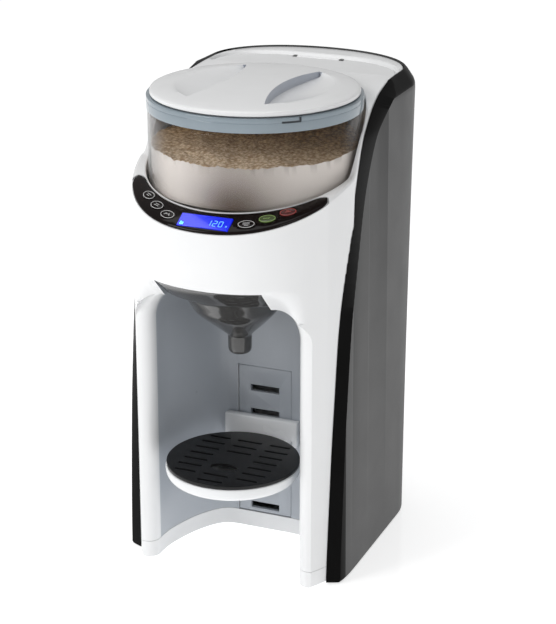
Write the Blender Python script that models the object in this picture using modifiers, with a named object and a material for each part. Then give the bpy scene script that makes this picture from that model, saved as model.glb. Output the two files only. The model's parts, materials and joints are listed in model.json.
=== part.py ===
"""Formula dispenser: powder hopper over a bottle bay, with a water tank behind.

Metres, +Z up, the front of the machine faces -Y. Every piece is laid out in the
frame of the hopper axis (an empty at HOPPER_Y), because the hopper, its dosing
wheel and the rounded head all share that axis.
"""
import math

import bmesh
import bpy
from mathutils import Matrix, Vector

for old in list(bpy.data.objects):
    bpy.data.objects.remove(old, do_unlink=True)

# ------------------------------------------------------------ driving sizes
HOPPER_Y = -0.0329         # hopper axis, from the middle of the machine's depth
GAP = 0.0004               # clearance left between neighbouring pieces

HEAD_A, HEAD_B, HEAD_N = 0.0925, 0.1072, 2.2   # plan of the rounded front
SEAM_Z = 0.0151            # joint between base frame and body
DECK_Z = 0.3895            # flat rear deck
COLLAR_R = 0.0868          # well that the hopper drops into
COLLAR_Z, COLLAR_K = 0.337, 0.232              # sloping rim of that well
PANEL_Z, PANEL_K = 0.3413, 0.3267              # outer edge of the sloping panel
WELL_Z = 0.2910            # floor of the hopper well

COVER_W0, COVER_W1 = 0.0965, 0.0935            # half width at table and at top
COVER_Y0, COVER_Y1 = 0.1600, 0.1734            # rear face at table and at top
COVER_D0, COVER_D1 = 0.0748, 0.0668            # depth of the rounded rear
REAR_N = 2.12              # squareness of the rounded rear
SPLIT_Y = 0.1300           # seam between side covers and rear cover

BAY_TOP = 0.2392           # ceiling of the bottle bay
NOTCH_W, NOTCH_TOP = 0.0450, 0.2578            # recess that takes the funnel

LID_R, LID_Z = 0.0830, 0.3903
RING_R = 0.0857
HOPPER_R, HOPPER_WALL = 0.0850, 0.0022
SPOUT_Y = -0.0330          # spout, ahead of the hopper axis
STAND_Y, STAND_R, STAND_Z = -0.0484, 0.0543, 0.0950

TANK_Y = 0.1170            # valve of the water tank
TANK_Z0 = 0.0700           # underside of the tank
RECESS_Z = 0.3800          # floor of the deck recess
CHUTE_Y = -0.0500          # powder outlet, ahead of the hopper axis
PINION_Y = 0.0363          # motor axis, behind the hopper axis
NOZZLE_X, NOZZLE_Z = 0.0260, 0.2500

SEG = 48                   # sides of a large round piece
SMALL = 24                 # sides of a small round piece

# ------------------------------------------------------------ scene set-up
machine = bpy.data.collections.new("formula_dispenser")
helpers = bpy.data.collections.new("cutters")
bpy.context.scene.collection.children.link(machine)
bpy.context.scene.collection.children.link(helpers)
helpers.hide_render = True


def axis_empty(name, place=(0, 0, 0), parent=None):
    empty = bpy.data.objects.new(name, None)
    empty.empty_display_size = 0.02
    empty.location = place
    empty.parent = parent
    machine.objects.link(empty)
    return empty


hopper_axis = axis_empty("hopper_axis", (0, HOPPER_Y, 0))


def material(name, colour, rough, metal=0.0, transmission=0.0, alpha=1.0):
    made = bpy.data.materials.new(name)
    made.use_nodes = True
    node = made.node_tree.nodes["Principled BSDF"]
    node.inputs["Base Color"].default_value = (*colour, 1)
    node.inputs["Roughness"].default_value = rough
    node.inputs["Metallic"].default_value = metal
    node.inputs["Transmission Weight"].default_value = transmission
    node.inputs["Alpha"].default_value = alpha
    made.diffuse_color = (*colour, alpha)
    return made


WHITE = material("white_gloss", (0.86, 0.86, 0.84), 0.25)
CHARCOAL = material("charcoal_satin", (0.055, 0.055, 0.055), 0.42)
BLACK = material("black_gloss", (0.012, 0.010, 0.010), 0.12)
BLUE = material("display_blue", (0.02, 0.10, 0.85), 0.3)
CLEAR = material("clear_plastic", (0.93, 0.93, 0.92), 0.06, transmission=0.9)
RING = material("ring_blue_grey", (0.52, 0.60, 0.66), 0.25, transmission=0.3)
SMOKE = material("smoke_plastic", (0.10, 0.10, 0.10), 0.15, transmission=0.5)
GRILLE = material("black_satin", (0.02, 0.02, 0.02), 0.4)
RUBBER = material("rubber", (0.05, 0.05, 0.05), 0.8)
SILICONE = material("silicone", (0.75, 0.76, 0.77), 0.6)
GREY = material("grey_plastic", (0.35, 0.36, 0.37), 0.5)
STEEL = material("steel", (0.60, 0.60, 0.60), 0.3, metal=1.0)
BOARD = material("board_green", (0.02, 0.20, 0.08), 0.5)
NYLON = material("nylon", (0.80, 0.78, 0.70), 0.45)
TUBE = material("tube_silicone", (0.82, 0.83, 0.84), 0.4, transmission=0.3)
BRASS = material("brass", (0.70, 0.50, 0.20), 0.3, metal=1.0)


def add(name, mesh, paint, parent=None, place=(0, 0, 0), turn=(0, 0, 0)):
    thing = bpy.data.objects.new(name, mesh)
    if paint is not None:
        mesh.materials.clear()
        mesh.materials.append(paint)
    thing.parent = parent or hopper_axis
    thing.location = place
    thing.rotation_euler = turn
    machine.objects.link(thing)
    mesh.shade_smooth()
    mesh.set_sharp_from_angle(angle=math.radians(32))
    return thing


def helper(name, mesh, parent=None, place=(0, 0, 0), turn=(0, 0, 0)):
    thing = bpy.data.objects.new("cut_" + name, mesh)
    thing.parent = parent or hopper_axis
    thing.location = place
    thing.rotation_euler = turn
    thing.hide_render = True
    thing.display_type = "WIRE"
    helpers.objects.link(thing)
    return thing


def boolean(thing, other, operation="DIFFERENCE", solver="EXACT"):
    made = thing.modifiers.new(operation.lower(), "BOOLEAN")
    made.operation = operation
    made.solver = solver
    made.object = other
    return made


def finish(form, name):
    bmesh.ops.recalc_face_normals(form, faces=form.faces)
    mesh = bpy.data.meshes.new(name)
    form.to_mesh(mesh)
    form.free()
    return mesh


# ------------------------------------------------------------ shape makers
def block(x0, x1, y0, y1, z0, z1, bevel=0.0, segments=2, name="block"):
    form = bmesh.new()
    bmesh.ops.create_cube(form, size=1.0)
    bmesh.ops.scale(form, vec=(x1 - x0, y1 - y0, z1 - z0), verts=form.verts)
    bmesh.ops.translate(
        form, vec=((x0 + x1) / 2, (y0 + y1) / 2, (z0 + z1) / 2), verts=form.verts
    )
    if bevel:
        bmesh.ops.bevel(
            form, geom=form.edges[:], offset=bevel, segments=segments,
            affect="EDGES", profile=0.5,
        )
    return finish(form, name)


def rod(radius, z0, z1, centre=(0, 0), sides=SMALL, top=None, name="rod"):
    form = bmesh.new()
    bmesh.ops.create_cone(
        form, cap_ends=True, segments=sides, radius1=radius,
        radius2=radius if top is None else top, depth=z1 - z0,
    )
    bmesh.ops.translate(
        form, vec=(centre[0], centre[1], (z0 + z1) / 2), verts=form.verts
    )
    return finish(form, name)


def loft(rings, name="loft", caps=True):
    """A closed form through rings of equal count, with a flat face on each end."""
    form = bmesh.new()
    rows = [[form.verts.new(point) for point in ring] for ring in rings]
    count = len(rings[0])
    for low, high in zip(rows, rows[1:]):
        for i in range(count):
            j = (i + 1) % count
            form.faces.new((low[i], low[j], high[j], high[i]))
    if caps:
        form.faces.new(rows[0][::-1])
        form.faces.new(rows[-1])
    return finish(form, name)


def extruded(outline, along, name):
    """A flat outline given thickness."""
    form = bmesh.new()
    face = form.faces.new([form.verts.new(point) for point in outline])
    made = bmesh.ops.extrude_face_region(form, geom=[face])
    bmesh.ops.translate(
        form, vec=along, verts=[v for v in made["geom"] if isinstance(v, bmesh.types.BMVert)]
    )
    return finish(form, name)


def prism(outline, z0, z1, name="prism"):
    return extruded([(x, y, z0) for x, y in outline], (0, 0, z1 - z0), name)


def side_prism(outline, x0, x1, name="side_prism"):
    """An outline in (y, z) carried along X."""
    return extruded([(x0, y, z) for y, z in outline], (x1 - x0, 0, 0), name)


def turned(name, profile, paint, sides=SEG, closed=False, parent=None,
           place=(0, 0, 0), turn=(0, 0, 0)):
    """A profile of (radius, z) points turned about Z with a Screw modifier. It runs
    down its outer side; an open one starts and ends on the axis."""
    form = bmesh.new()
    points = [form.verts.new((r, 0, z)) for r, z in profile]
    pairs = list(zip(points, points[1:]))
    if closed:
        pairs.append((points[-1], points[0]))
    for a, b in pairs:
        form.edges.new((a, b))
    mesh = bpy.data.meshes.new(name)
    form.to_mesh(mesh)
    form.free()
    thing = add(name, mesh, paint, parent, place, turn)
    screw = thing.modifiers.new("screw", "SCREW")
    screw.steps = sides
    screw.render_steps = sides
    screw.use_merge_vertices = True
    screw.merge_threshold = 0.00002
    screw.use_smooth_shade = True
    screw.use_normal_calculate = False
    return thing


def wire(name, points, radius, paint, parent=None, closed=False):
    """A tube or wire along a poly line."""
    curve = bpy.data.curves.new(name, "CURVE")
    curve.dimensions = "3D"
    curve.bevel_depth = radius
    curve.bevel_resolution = 2
    curve.use_fill_caps = not closed
    line = curve.splines.new("POLY")
    line.points.add(len(points) - 1)
    for slot, point in zip(line.points, points):
        slot.co = (*point, 1)
    line.use_cyclic_u = closed
    curve.materials.append(paint)
    thing = bpy.data.objects.new(name, curve)
    thing.parent = parent or hopper_axis
    machine.objects.link(thing)
    return thing


def bend(points, radius, steps=4):
    """The corners of a poly line rounded to a radius."""
    points = [Vector(p) for p in points]
    out = [points[0]]
    for before, at, after in zip(points, points[1:], points[2:]):
        a, b = (before - at).normalized(), (after - at).normalized()
        start, end = at + a * radius, at + b * radius
        for i in range(steps + 1):
            t = i / steps
            out.append((1 - t) ** 2 * start + 2 * t * (1 - t) * at + t * t * end)
    out.append(points[-1])
    return out


def lerp_table(table, value):
    for (a, fa), (b, fb) in zip(table, table[1:]):
        if value <= b:
            t = max(0.0, (value - a) / (b - a))
            return fa + (fb - fa) * t
    return table[-1][1]


def mirrored(half):
    """A whole outline from its right half, which runs front to rear."""
    left = [(-x, y) for x, y in reversed(half) if abs(x) > 1e-6]
    return half + left


# ------------------------------------------------------------ plan outlines
def head_half_width(y):
    return HEAD_A * (1 - min(1.0, abs(y) / HEAD_B) ** HEAD_N) ** (1 / HEAD_N)


SIDE_LINE = [(-0.0220, 0.0908), (-0.0120, 0.0905), (0.0, 0.0896), (0.011, 0.0886),
             (0.034, 0.0866), (0.052, 0.0852), (0.078, 0.0841), (0.088, 0.0836)]
REAR_DEPTH = 0.0600        # depth of the body's rounded rear
REAR_SKIN = 0.0070         # rear cover thickness at the middle


def cover_rear(z):
    return COVER_Y0 + (COVER_Y1 - COVER_Y0) * z / DECK_Z


def rear_arc(width, start, rear, steps=11):
    """Right half of the rounded rear, from the side to the middle of the back."""
    points = []
    for i in range(1, steps + 1):
        t = math.pi / 2 * i / steps
        points.append((width * math.cos(t) ** (2 / REAR_N) if i < steps else 0.0,
                       start + (rear - start) * math.sin(t) ** (2 / REAR_N)))
    return points


def body_half(inset=0.0, z=0.0):
    """Right half of the white body in plan at height z, front centre to rear centre."""
    rear = cover_rear(z) - REAR_SKIN
    points = []
    steps = 15
    for i in range(steps + 1):
        t = (i / steps) * math.radians(80.5)
        x = HEAD_A * math.sin(t) ** (2 / HEAD_N)
        y = -HEAD_B * math.cos(t) ** (2 / HEAD_N)
        points.append((x, y))
    cy = rear - REAR_DEPTH
    points += [(x, y) for y, x in SIDE_LINE if points[-1][1] + 0.004 < y < cy - 0.004]
    points += rear_arc(0.0832, cy, rear)
    if inset:
        points = offset(points, inset)
    return points


def offset(points, amount):
    """Moves an open outline sideways: to its left-hand side for a plus amount."""
    out = []
    for i, (x, y) in enumerate(points):
        ax, ay = points[max(0, i - 1)]
        bx, by = points[min(len(points) - 1, i + 1)]
        dx, dy = bx - ax, by - ay
        size = math.hypot(dx, dy)
        out.append((x - dy / size * amount, y + dx / size * amount))
    if abs(points[0][0]) < 1e-6:
        out[0] = (0.0, points[0][1] + amount)
    if abs(points[-1][0]) < 1e-6:
        out[-1] = (0.0, points[-1][1] - amount)
    return out


def cover_half(z):
    """Right half of the outside of the covers in plan at height z."""
    t = z / DECK_Z
    w = COVER_W0 + (COVER_W1 - COVER_W0) * t
    rear = cover_rear(z)
    start = rear - (COVER_D0 + (COVER_D1 - COVER_D0) * t)
    points = [(w - 0.0118, -0.0560), (w - 0.0075, -0.0555), (w - 0.0040, -0.0520),
              (w - 0.0018, -0.0460), (w - 0.0005, -0.0360), (w, -0.0220), (w, 0.020),
              (w, 0.060)]
    return points + rear_arc(w, start, rear, 14)


# right half of the deck recess and of the tank well in plan, front to rear
LID_PLAN = [(0.0, 0.0905), (0.0790, 0.0905), (0.0800, 0.0915), (0.0802, 0.1000),
            (0.0786, 0.1080), (0.0740, 0.1170), (0.0660, 0.1252), (0.0540, 0.1325),
            (0.0380, 0.1374), (0.0200, 0.1394), (0.0, 0.1398)]
WELL_PLAN = [(0.0, 0.0975), (0.0590, 0.0975), (0.0590, 0.1165), (0.0530, 0.1255),
             (0.0420, 0.1315), (0.0250, 0.1345), (0.0, 0.1355)]

PROFILE = [(-0.030, 0.3180), (-0.0225, 0.3250), (-0.013, 0.3385), (-0.001, 0.3565),
           (0.011, 0.3665), (0.028, 0.3775), (0.045, 0.3840), (0.062, 0.3875),
           (0.085, 0.3892), (0.100, 0.3895), (0.200, 0.3895)]


def top_height(x, y, outer):
    """Height of the body's top face: sloping panel in front, deck behind."""
    slope = PANEL_Z + PANEL_K * y if outer else COLLAR_Z + COLLAR_K * y
    if y < PROFILE[0][0]:
        return slope
    high = lerp_table(PROFILE, y)
    return high if y > 0.06 else max(slope, high)


# ------------------------------------------------------------ white body
def polar_body():
    low = mirrored(body_half(0.0, SEAM_Z))
    outline = mirrored(body_half(0.0, DECK_Z))
    rings = [[(x, y, SEAM_Z + GAP) for x, y in low]]
    edge = 0.0022
    rings.append([(x, y, top_height(x, y, True) - edge) for x, y in outline])
    inner = []
    for x, y in outline:
        size = math.hypot(x, y)
        inner.append((x / size * COLLAR_R, y / size * COLLAR_R))
    for t in (0.03, 0.22, 0.5, 0.8, 1.0):
        ring = []
        for (x, y), (u, v) in zip(outline, inner):
            px, py = x + (u - x) * t, y + (v - y) * t
            high = top_height(px, py, True) * (1 - t) + top_height(px, py, False) * t
            ring.append((px, py, high))
        rings.append(ring)
    rings.append([(u, v, WELL_Z) for u, v in inner])
    return loft(rings, "front_shell")


def bay_plan(grow=0.0):
    """Right half of the bottle bay in plan, front to back, with the round nose of
    the pillar taken off at the front."""
    g = grow
    points = [(0.0757 + g, -0.140), (0.0757 + g, -0.0672)]
    for angle in (270, 250, 230, 210, 195, 180):
        a = math.radians(angle)
        points.append((0.0723 + (0.0093 - g) * math.cos(a),
                       -0.0585 + (0.0093 - g) * math.sin(a)))
    points += [(0.0622 + g, -0.041), (0.0582 + g, -0.024), (0.0530 + g, -0.009),
               (0.0462 + g, 0.004 + g), (0.0405 + g, 0.0115 + g),
               (0.0340, 0.0164 + g), (0.0265, 0.0180 + g), (0.0, 0.0180 + g)]
    return points


def bay_cutter(name):
    half = bay_plan()
    rings = [[(x, y, -0.01) for x, y in mirrored(half)]]
    low = 0.2120
    for angle in (0, 15, 30, 45, 60, 75, 90):
        a = math.radians(angle)
        share = 1 - 0.40 * (1 - math.cos(a))
        z = low + (BAY_TOP - low) * math.sin(a)
        rings.append([(x * share, y, z) for x, y in mirrored(half)])
    return helper(name, loft(rings, name))


# how far the head's front is set back at each height under its lower edge
SOFFIT = [(0.2300, 0.0300), (0.2400, 0.0196), (0.2500, 0.0092), (0.2545, 0.0046), (0.2578, 0.0016),
          (0.2625, -0.0008)]


def soffit_cutter():
    """Space under the head's front, fading out into the two pillars."""
    rings = []
    for z, depth in SOFFIT:
        ring = []
        for i in range(-13, 14):
            x = 0.0735 * i / 13
            t = min(1.0, max(0.0, (0.0735 - abs(x)) / (0.0735 - 0.0470)))
            fade = t * t * (3 - 2 * t)
            front = -HEAD_B * (1 - (abs(x) / HEAD_A) ** HEAD_N) ** (1 / HEAD_N)
            ring.append((x, front + depth * fade - 0.0004 * (1 - fade), z))
        ring += [(0.0735, -0.1400, z), (-0.0735, -0.1400, z)]
        rings.append(ring)
    return loft(rings, "soffit")


front_shell = add("front_shell", polar_body(), WHITE)
boolean(front_shell, helper("soffit", soffit_cutter()))
boolean(front_shell, bay_cutter("bottle_bay"))
# recess under the head that takes the funnel's head plate
notch = [(-0.135, 0.2200), (-0.135, NOTCH_TOP), (0.0060, NOTCH_TOP), (0.0060, 0.2200)]
boolean(front_shell, helper("funnel_notch", side_prism(notch, -NOTCH_W, NOTCH_W)))
# gear space over the bay ceiling, and the works space behind the bay
boolean(front_shell, helper("works_space", block(-0.0740, 0.0740, 0.0225, 0.0930, -0.01, 0.2560)))
boolean(front_shell, helper("gear_space", block(-0.0320, 0.0320, -0.0310, 0.0480, 0.2620, 0.2870)))
# recess in the deck for the tank's flange and lid, and the tank well below it
boolean(front_shell, helper("deck_recess", prism(mirrored(LID_PLAN), RECESS_Z, 0.42)))
# the rim round the lid slopes, so that the lid's curved rear edge clears it when it opens
boolean(front_shell, helper("deck_slope", loft(
    [[(x * (1 + 0.018 * k), y + 0.0058 * k * max(0.0, (y - 0.0915) / 0.0483), z)
      for x, y in mirrored(LID_PLAN)] for k, z in ((-0.05, 0.3853), (1.0, 0.3895), (2.0, 0.3935))], "deck_slope")))
boolean(front_shell, helper("tank_well", prism(mirrored(WELL_PLAN), 0.0600, 0.41)))
# under the tank the body is open for the valve seat, and hollow behind the tank
boolean(front_shell, helper("under_tank", block(-0.0560, 0.0560, 0.0860, 0.1330, -0.01, 0.0560)))
boolean(front_shell, helper("valve_way", rod(0.0140, 0.0500, 0.0700, (0.0, TANK_Y))))
boolean(front_shell, helper("rear_space", block(-0.0440, 0.0440, 0.1410, 0.1485, -0.01, 0.3600)))
# coupling hole in the floor of the hopper well, powder chute ahead of it
boolean(front_shell, helper("coupling_way", rod(0.0125, 0.2800, 0.3000)))
boolean(front_shell, helper("chute_way", rod(0.0150, 0.2450, 0.3000, (0.0, CHUTE_Y))))
boolean(front_shell, helper("shaft_way", rod(0.0026, 0.2500, 0.2700, (0.0, PINION_Y), 16)))
boolean(front_shell, helper("nozzle_way", rod(0.0045, -0.02, 0.02, (0, 0), 20),
                            place=(NOZZLE_X, 0.0145, NOZZLE_Z), turn=(math.pi / 2, 0, 0)))
# room for the control board behind the panel
boolean(front_shell, helper("board_way", block(-0.0235, 0.0235, -0.1030, -0.0900, 0.2700, 0.3300)))
# window for the insert in the bay's back wall
boolean(front_shell, helper("insert_window", block(-0.0242, 0.0242, 0.0100, 0.0300, -0.01, 0.1500)))
# windows for the inlet and the switch in the rear wall
boolean(front_shell, helper("inlet_window", block(-0.0230, 0.0040, 0.1440, 0.1700, 0.0285, 0.0495)))
boolean(front_shell, helper("switch_window", block(0.0080, 0.0210, 0.1440, 0.1700, 0.0305, 0.0475)))

# ------------------------------------------------------------ base frame
base_frame = add("base_frame", loft(
    [[(x, y, z) for x, y in mirrored(body_half(0.0, z))] for z in (0.0012, SEAM_Z)], "base_frame"), WHITE)
boolean(base_frame, bay_cutter("base_bay"))
boolean(base_frame, helper("base_open", block(-0.0620, 0.0620, 0.0260, 0.1300, -0.01, 0.0300)))
for i, (fx, fy) in enumerate(((-0.0730, -0.0530), (0.0730, -0.0530),
                              (-0.0640, 0.1500), (0.0640, 0.1500))):
    if i < 2:
        boolean(base_frame, helper("foot_seat_%d" % i, rod(0.0046, -0.01, 0.0042, (fx, fy))))
bottom_plate = add("bottom_plate", block(-0.0616, 0.0616, 0.0264, 0.1296, 0.0030, 0.0060), GREY)
for i, (sx, sy) in enumerate(((-0.0540, 0.0340), (0.0540, 0.0340),
                              (-0.0540, 0.1256), (0.0540, 0.1256))):
    boolean(bottom_plate, helper("screw_hole_%d" % i, rod(0.0020, 0.0, 0.01, (sx, sy), 16)))
    screw = rod(0.0036, 0.0012, 0.0026, (0, 0), 16)
    mesh = add("bottom_screw_%d" % (i + 1), screw, STEEL, place=(sx, sy, 0.0))
    boolean(mesh, helper("shank_%d" % i, rod(0.0016, 0.0020, 0.0140, (sx, sy), 12)), "UNION")
FEET = ((-0.0730, -0.0530), (0.0730, -0.0530), (-0.0440, 0.1150), (0.0440, 0.1150))
for i, (fx, fy) in enumerate(FEET):
    top = 0.0038 if i < 2 else 0.0026
    add("foot_%d" % (i + 1), rod(0.0042 if i < 2 else 0.0090, 0.0, top, (0, 0), SMALL), RUBBER,
        place=(fx, fy, 0.0))

# ------------------------------------------------------------ covers
SHOULDER = [  # inner edge (x, y, z) and outer edge (x, y, z) of the dark band
    ((0.0840, -0.0530, -0.010), (0.0965, -0.0470, -0.010)),
    ((0.0840, -0.0520, 0.030), (0.0963, -0.0465, 0.030)),
    ((0.0857, -0.0480, 0.115), (0.0955, -0.0415, 0.115)),
    ((0.0868, -0.0450, 0.160), (0.0950, -0.0375, 0.160)),
    ((0.0875, -0.0415, 0.210), (0.0945, -0.0320, 0.210)),
    ((0.0885, -0.0370, 0.246), (0.0942, -0.0255, 0.243)),
    ((0.0900, -0.0290, 0.290), (0.0942, -0.0130, 0.287)),
    ((0.0904, -0.0220, 0.317), (0.0942, -0.0020, 0.316)),
    ((0.0902, -0.0130, 0.339), (0.0942, 0.0110, 0.338)),
    ((0.0895, -0.0010, 0.357), (0.0942, 0.0250, 0.356)),
    ((0.0885, 0.0110, 0.367), (0.0942, 0.0360, 0.364)),
    ((0.0870, 0.0280, 0.378), (0.0942, 0.0500, 0.371)),
    ((0.0855, 0.0450, 0.3845), (0.0942, 0.0620, 0.376)),
    ((0.0845, 0.0620, 0.3885), (0.0942, 0.0780, 0.381)),
    ((0.0835, 0.0850, 0.3940), (0.0942, 0.0960, 0.387)),
    ((0.0830, 0.1200, 0.4020), (0.0942, 0.1250, 0.396)),
    ((0.0830, 0.2000, 0.4100), (0.0942, 0.2000, 0.405)),
]


def smooth_rows(rows, per=2):
    """More rows along a table of points, on a curve through all of them."""
    flat = [Vector(tuple(a) + tuple(b)) for a, b in rows]
    out = []
    for i in range(len(flat) - 1):
        p0, p1, p2, p3 = flat[max(0, i - 1)], flat[i], flat[i + 1], flat[min(len(flat) - 1, i + 2)]
        for k in range(per):
            t = k / per
            out.append(0.5 * (2 * p1 + (p2 - p0) * t + (2 * p0 - 5 * p1 + 4 * p2 - p3) * t * t
                              + (3 * p1 - p0 - 3 * p2 + p3) * t ** 3))
    out.append(flat[-1])
    return [((v[0], v[1], v[2]), (v[3], v[4], v[5])) for v in out]


def shoulder_cutter(name, side):
    """What lies in front of and above the slanting front edge of a cover."""
    rings = []
    for x in (0.0780, None, 0.0990):
        ring = []
        for (bx, by, bz), (ox, oy, oz) in smooth_rows(SHOULDER):
            t = max(-0.4, (x - bx) / (ox - bx)) if x else 0.0
            ring.append((side * (x or bx), by + (oy - by) * t, bz + (oz - bz) * t))
        far = side * (x or 0.0870)
        ring += [(far, 0.2000, 0.4600), (far, -0.2000, 0.4600), (far, -0.2000, -0.0100)]
        rings.append(ring)
    return helper(name, loft(rings, name))


def trimmed(points, y_end, rear=False):
    """The part of a half outline in front of y_end, or behind it."""
    out = []
    for a, b in zip(points, points[1:]):
        if (a[1] <= y_end) != rear:
            out.append(a)
        if (a[1] - y_end) * (b[1] - y_end) < 0:
            t = (y_end - a[1]) / (b[1] - a[1])
            out.append((a[0] + (b[0] - a[0]) * t, y_end))
    if (points[-1][1] <= y_end) != rear:
        out.append(points[-1])
    return out


def resampled(points, count):
    """The same poly line with evenly spaced points."""
    lengths = [0.0]
    for a, b in zip(points, points[1:]):
        lengths.append(lengths[-1] + math.hypot(b[0] - a[0], b[1] - a[1]))
    out = []
    for i in range(count):
        want = lengths[-1] * i / (count - 1)
        for k in range(len(points) - 1):
            if want <= lengths[k + 1] + 1e-12:
                t = (want - lengths[k]) / (lengths[k + 1] - lengths[k])
                a, b = points[k], points[k + 1]
                out.append((a[0] + (b[0] - a[0]) * t, a[1] + (b[1] - a[1]) * t))
                break
    return out


COVER_TOP = 0.3905
CHAMFER_Z = 0.3780


def cover_mesh(side, name):
    count = 26
    rings = []
    for z, share in ((0.0008, 0.0), (CHAMFER_Z, 0.0), (COVER_TOP, 1.0)):
        inner = [p for p in body_half(0.0030, z) if p[1] > -0.0545]
        inner = resampled(trimmed(inner, SPLIT_Y), count)
        outer = resampled(trimmed(cover_half(min(z, CHAMFER_Z)), SPLIT_Y), count)
        if share:
            lip = [(a[0] + (b[0] - a[0]) * 0.10, a[1] + (b[1] - a[1]) * 0.10)
                   for a, b in zip(inner, outer)]
            outer = lip
        path = outer + inner[::-1]
        rings.append([(side * x, y, z) for x, y in path])
    return loft(rings, name)


# the space that the body and the base fill inside the covers, with clearance
body_space = helper("body_space", loft(
    [[(x, y, z) for x, y in mirrored(body_half(-GAP, z))] for z in (-0.02, 0.45)], "body_space"))

for side, name in ((1, "side_cover_right"), (-1, "side_cover_left")):
    cover = add(name, cover_mesh(side, name), CHARCOAL)
    boolean(cover, shoulder_cutter(name + "_shoulder", side))
    boolean(cover, body_space, solver="MANIFOLD")


def rear_cover_mesh():
    count = 16
    rings = []
    for z, share in ((0.0008, 0.0), (CHAMFER_Z, 0.0), (COVER_TOP, 1.0)):
        inner = resampled(trimmed(body_half(0.0030, z), SPLIT_Y + GAP, rear=True), count)
        outer = resampled(trimmed(cover_half(min(z, CHAMFER_Z)), SPLIT_Y + GAP, rear=True), count)
        if share:
            outer = [(a[0] + (b[0] - a[0]) * 0.14, a[1] + (b[1] - a[1]) * 0.14)
                     for a, b in zip(inner, outer)]
        whole_outer = mirrored(outer)
        whole_inner = mirrored(inner)
        rings.append([(x, y, z) for x, y in whole_outer + whole_inner[::-1]])
    return loft(rings, "rear_cover")


rear_cover = add("rear_cover", rear_cover_mesh(), CHARCOAL)
boolean(rear_cover, body_space)

POCKET = (-0.0280, 0.0280, 0.1556, 0.1800, 0.0240, 0.0540)
boolean(rear_cover, helper("plug_pocket", block(*POCKET)))
boolean(rear_cover, helper("inlet_hole", block(-0.0230, 0.0040, 0.1440, 0.1700, 0.0285, 0.0495)))
boolean(rear_cover, helper("switch_hole", block(0.0080, 0.0210, 0.1440, 0.1700, 0.0305, 0.0475)))


def placed(mesh, place, turn):
    mesh.transform(Matrix.LocRotScale(Vector(place), turn, None))
    return mesh


def several(parts, name="several"):
    """Separate closed meshes held as one cutter."""
    form = bmesh.new()
    for mesh in parts:
        form.from_mesh(mesh)
    return finish(form, name)


# ------------------------------------------------------------ insert in the bay's back wall
HOOK_Z = [0.0220 + 0.0216 * k for k in range(6)]
bay_back_panel = add(
    "bay_back_panel", block(-0.0238, 0.0238, 0.0184, 0.0220, 0.0158, 0.1495, 0.0005, 1), WHITE)
boolean(bay_back_panel, helper("hook_slots", several(
    [block(-0.0128, 0.0128, 0.0150, 0.0250, z - 0.0029, z + 0.0029) for z in HOOK_Z])))


# ------------------------------------------------------------ control panel
def head_radius(angle):
    """Radius of the rounded front at an angle from straight ahead."""
    s, c = abs(math.sin(angle)), abs(math.cos(angle))
    return ((s / HEAD_A) ** HEAD_N + (c / HEAD_B) ** HEAD_N) ** (-1 / HEAD_N)


def panel_height(x, y):
    r = math.hypot(x, y)
    far = head_radius(math.atan2(x, -y))
    t = min(1.0, max(0.0, (far - r) / (far - COLLAR_R)))
    return (PANEL_Z + PANEL_K * y) * (1 - t) + (COLLAR_Z + COLLAR_K * y) * t


TIP = math.radians(58.7)
ROUND = math.radians(53.0)


def crescent(inner, outer, low, high, tip=TIP, steps=34, over=0.0):
    """The panel's crescent as a solid: inner and outer trims, heights off its face."""
    rings = []
    for i in range(steps + 1):
        angle = -tip + 2 * tip * (0.5 - 0.5 * math.cos(math.pi * i / steps))
        a = abs(angle)
        share = 1.0 if a < ROUND else math.sqrt(max(0.0, 1 - ((a - ROUND) / (tip - ROUND)) ** 2))
        share = max(share, 0.04)
        near, far = COLLAR_R + inner, head_radius(angle) - outer
        middle = (near + far) / 2
        near = middle + (near - middle) * share
        far = middle + (far - middle) * share
        beyond = far + over * max(0.0, share * 2 - 1)
        s, c = math.sin(angle), -math.cos(angle)
        zn, zf = panel_height(near * s, near * c), panel_height(far * s, far * c)
        zb = zf + (zf - zn) / (far - near) * (beyond - far)
        rings.append([(near * s, near * c, zn + low), (beyond * s, beyond * c, zb + low),
                      (beyond * s, beyond * c, zb + high), (near * s, near * c, zn + high)])
    return loft(rings, "crescent")


def surface_frame(x, y):
    """Location and rotation of a piece lying on the panel, its X along the crescent."""
    step = 0.0005
    dzx = (panel_height(x + step, y) - panel_height(x - step, y)) / (2 * step)
    dzy = (panel_height(x, y + step) - panel_height(x, y - step)) / (2 * step)
    normal = Vector((-dzx, -dzy, 1)).normalized()
    along = Vector((-y, x, 0)).normalized()
    along = (along - normal * along.dot(normal)).normalized()
    across = normal.cross(along)
    turn = Matrix((along, across, normal)).transposed().to_euler()
    return (x, y, panel_height(x, y)), turn


def oval(a, b, z0, z1, sides=20, name="oval"):
    ring = [(a * math.cos(2 * math.pi * i / sides), b * math.sin(2 * math.pi * i / sides))
            for i in range(sides)]
    return prism(ring, z0, z1, name)


PANEL_T = 0.0018
control_panel = add("control_panel", crescent(0.0016, 0.0004, -PANEL_T, 0.0), BLACK)
boolean(front_shell, helper("panel_seat", crescent(
    0.0012, 0.0000, -PANEL_T - GAP, 0.0080, TIP + math.radians(0.5), 34, 0.0060)))

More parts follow.
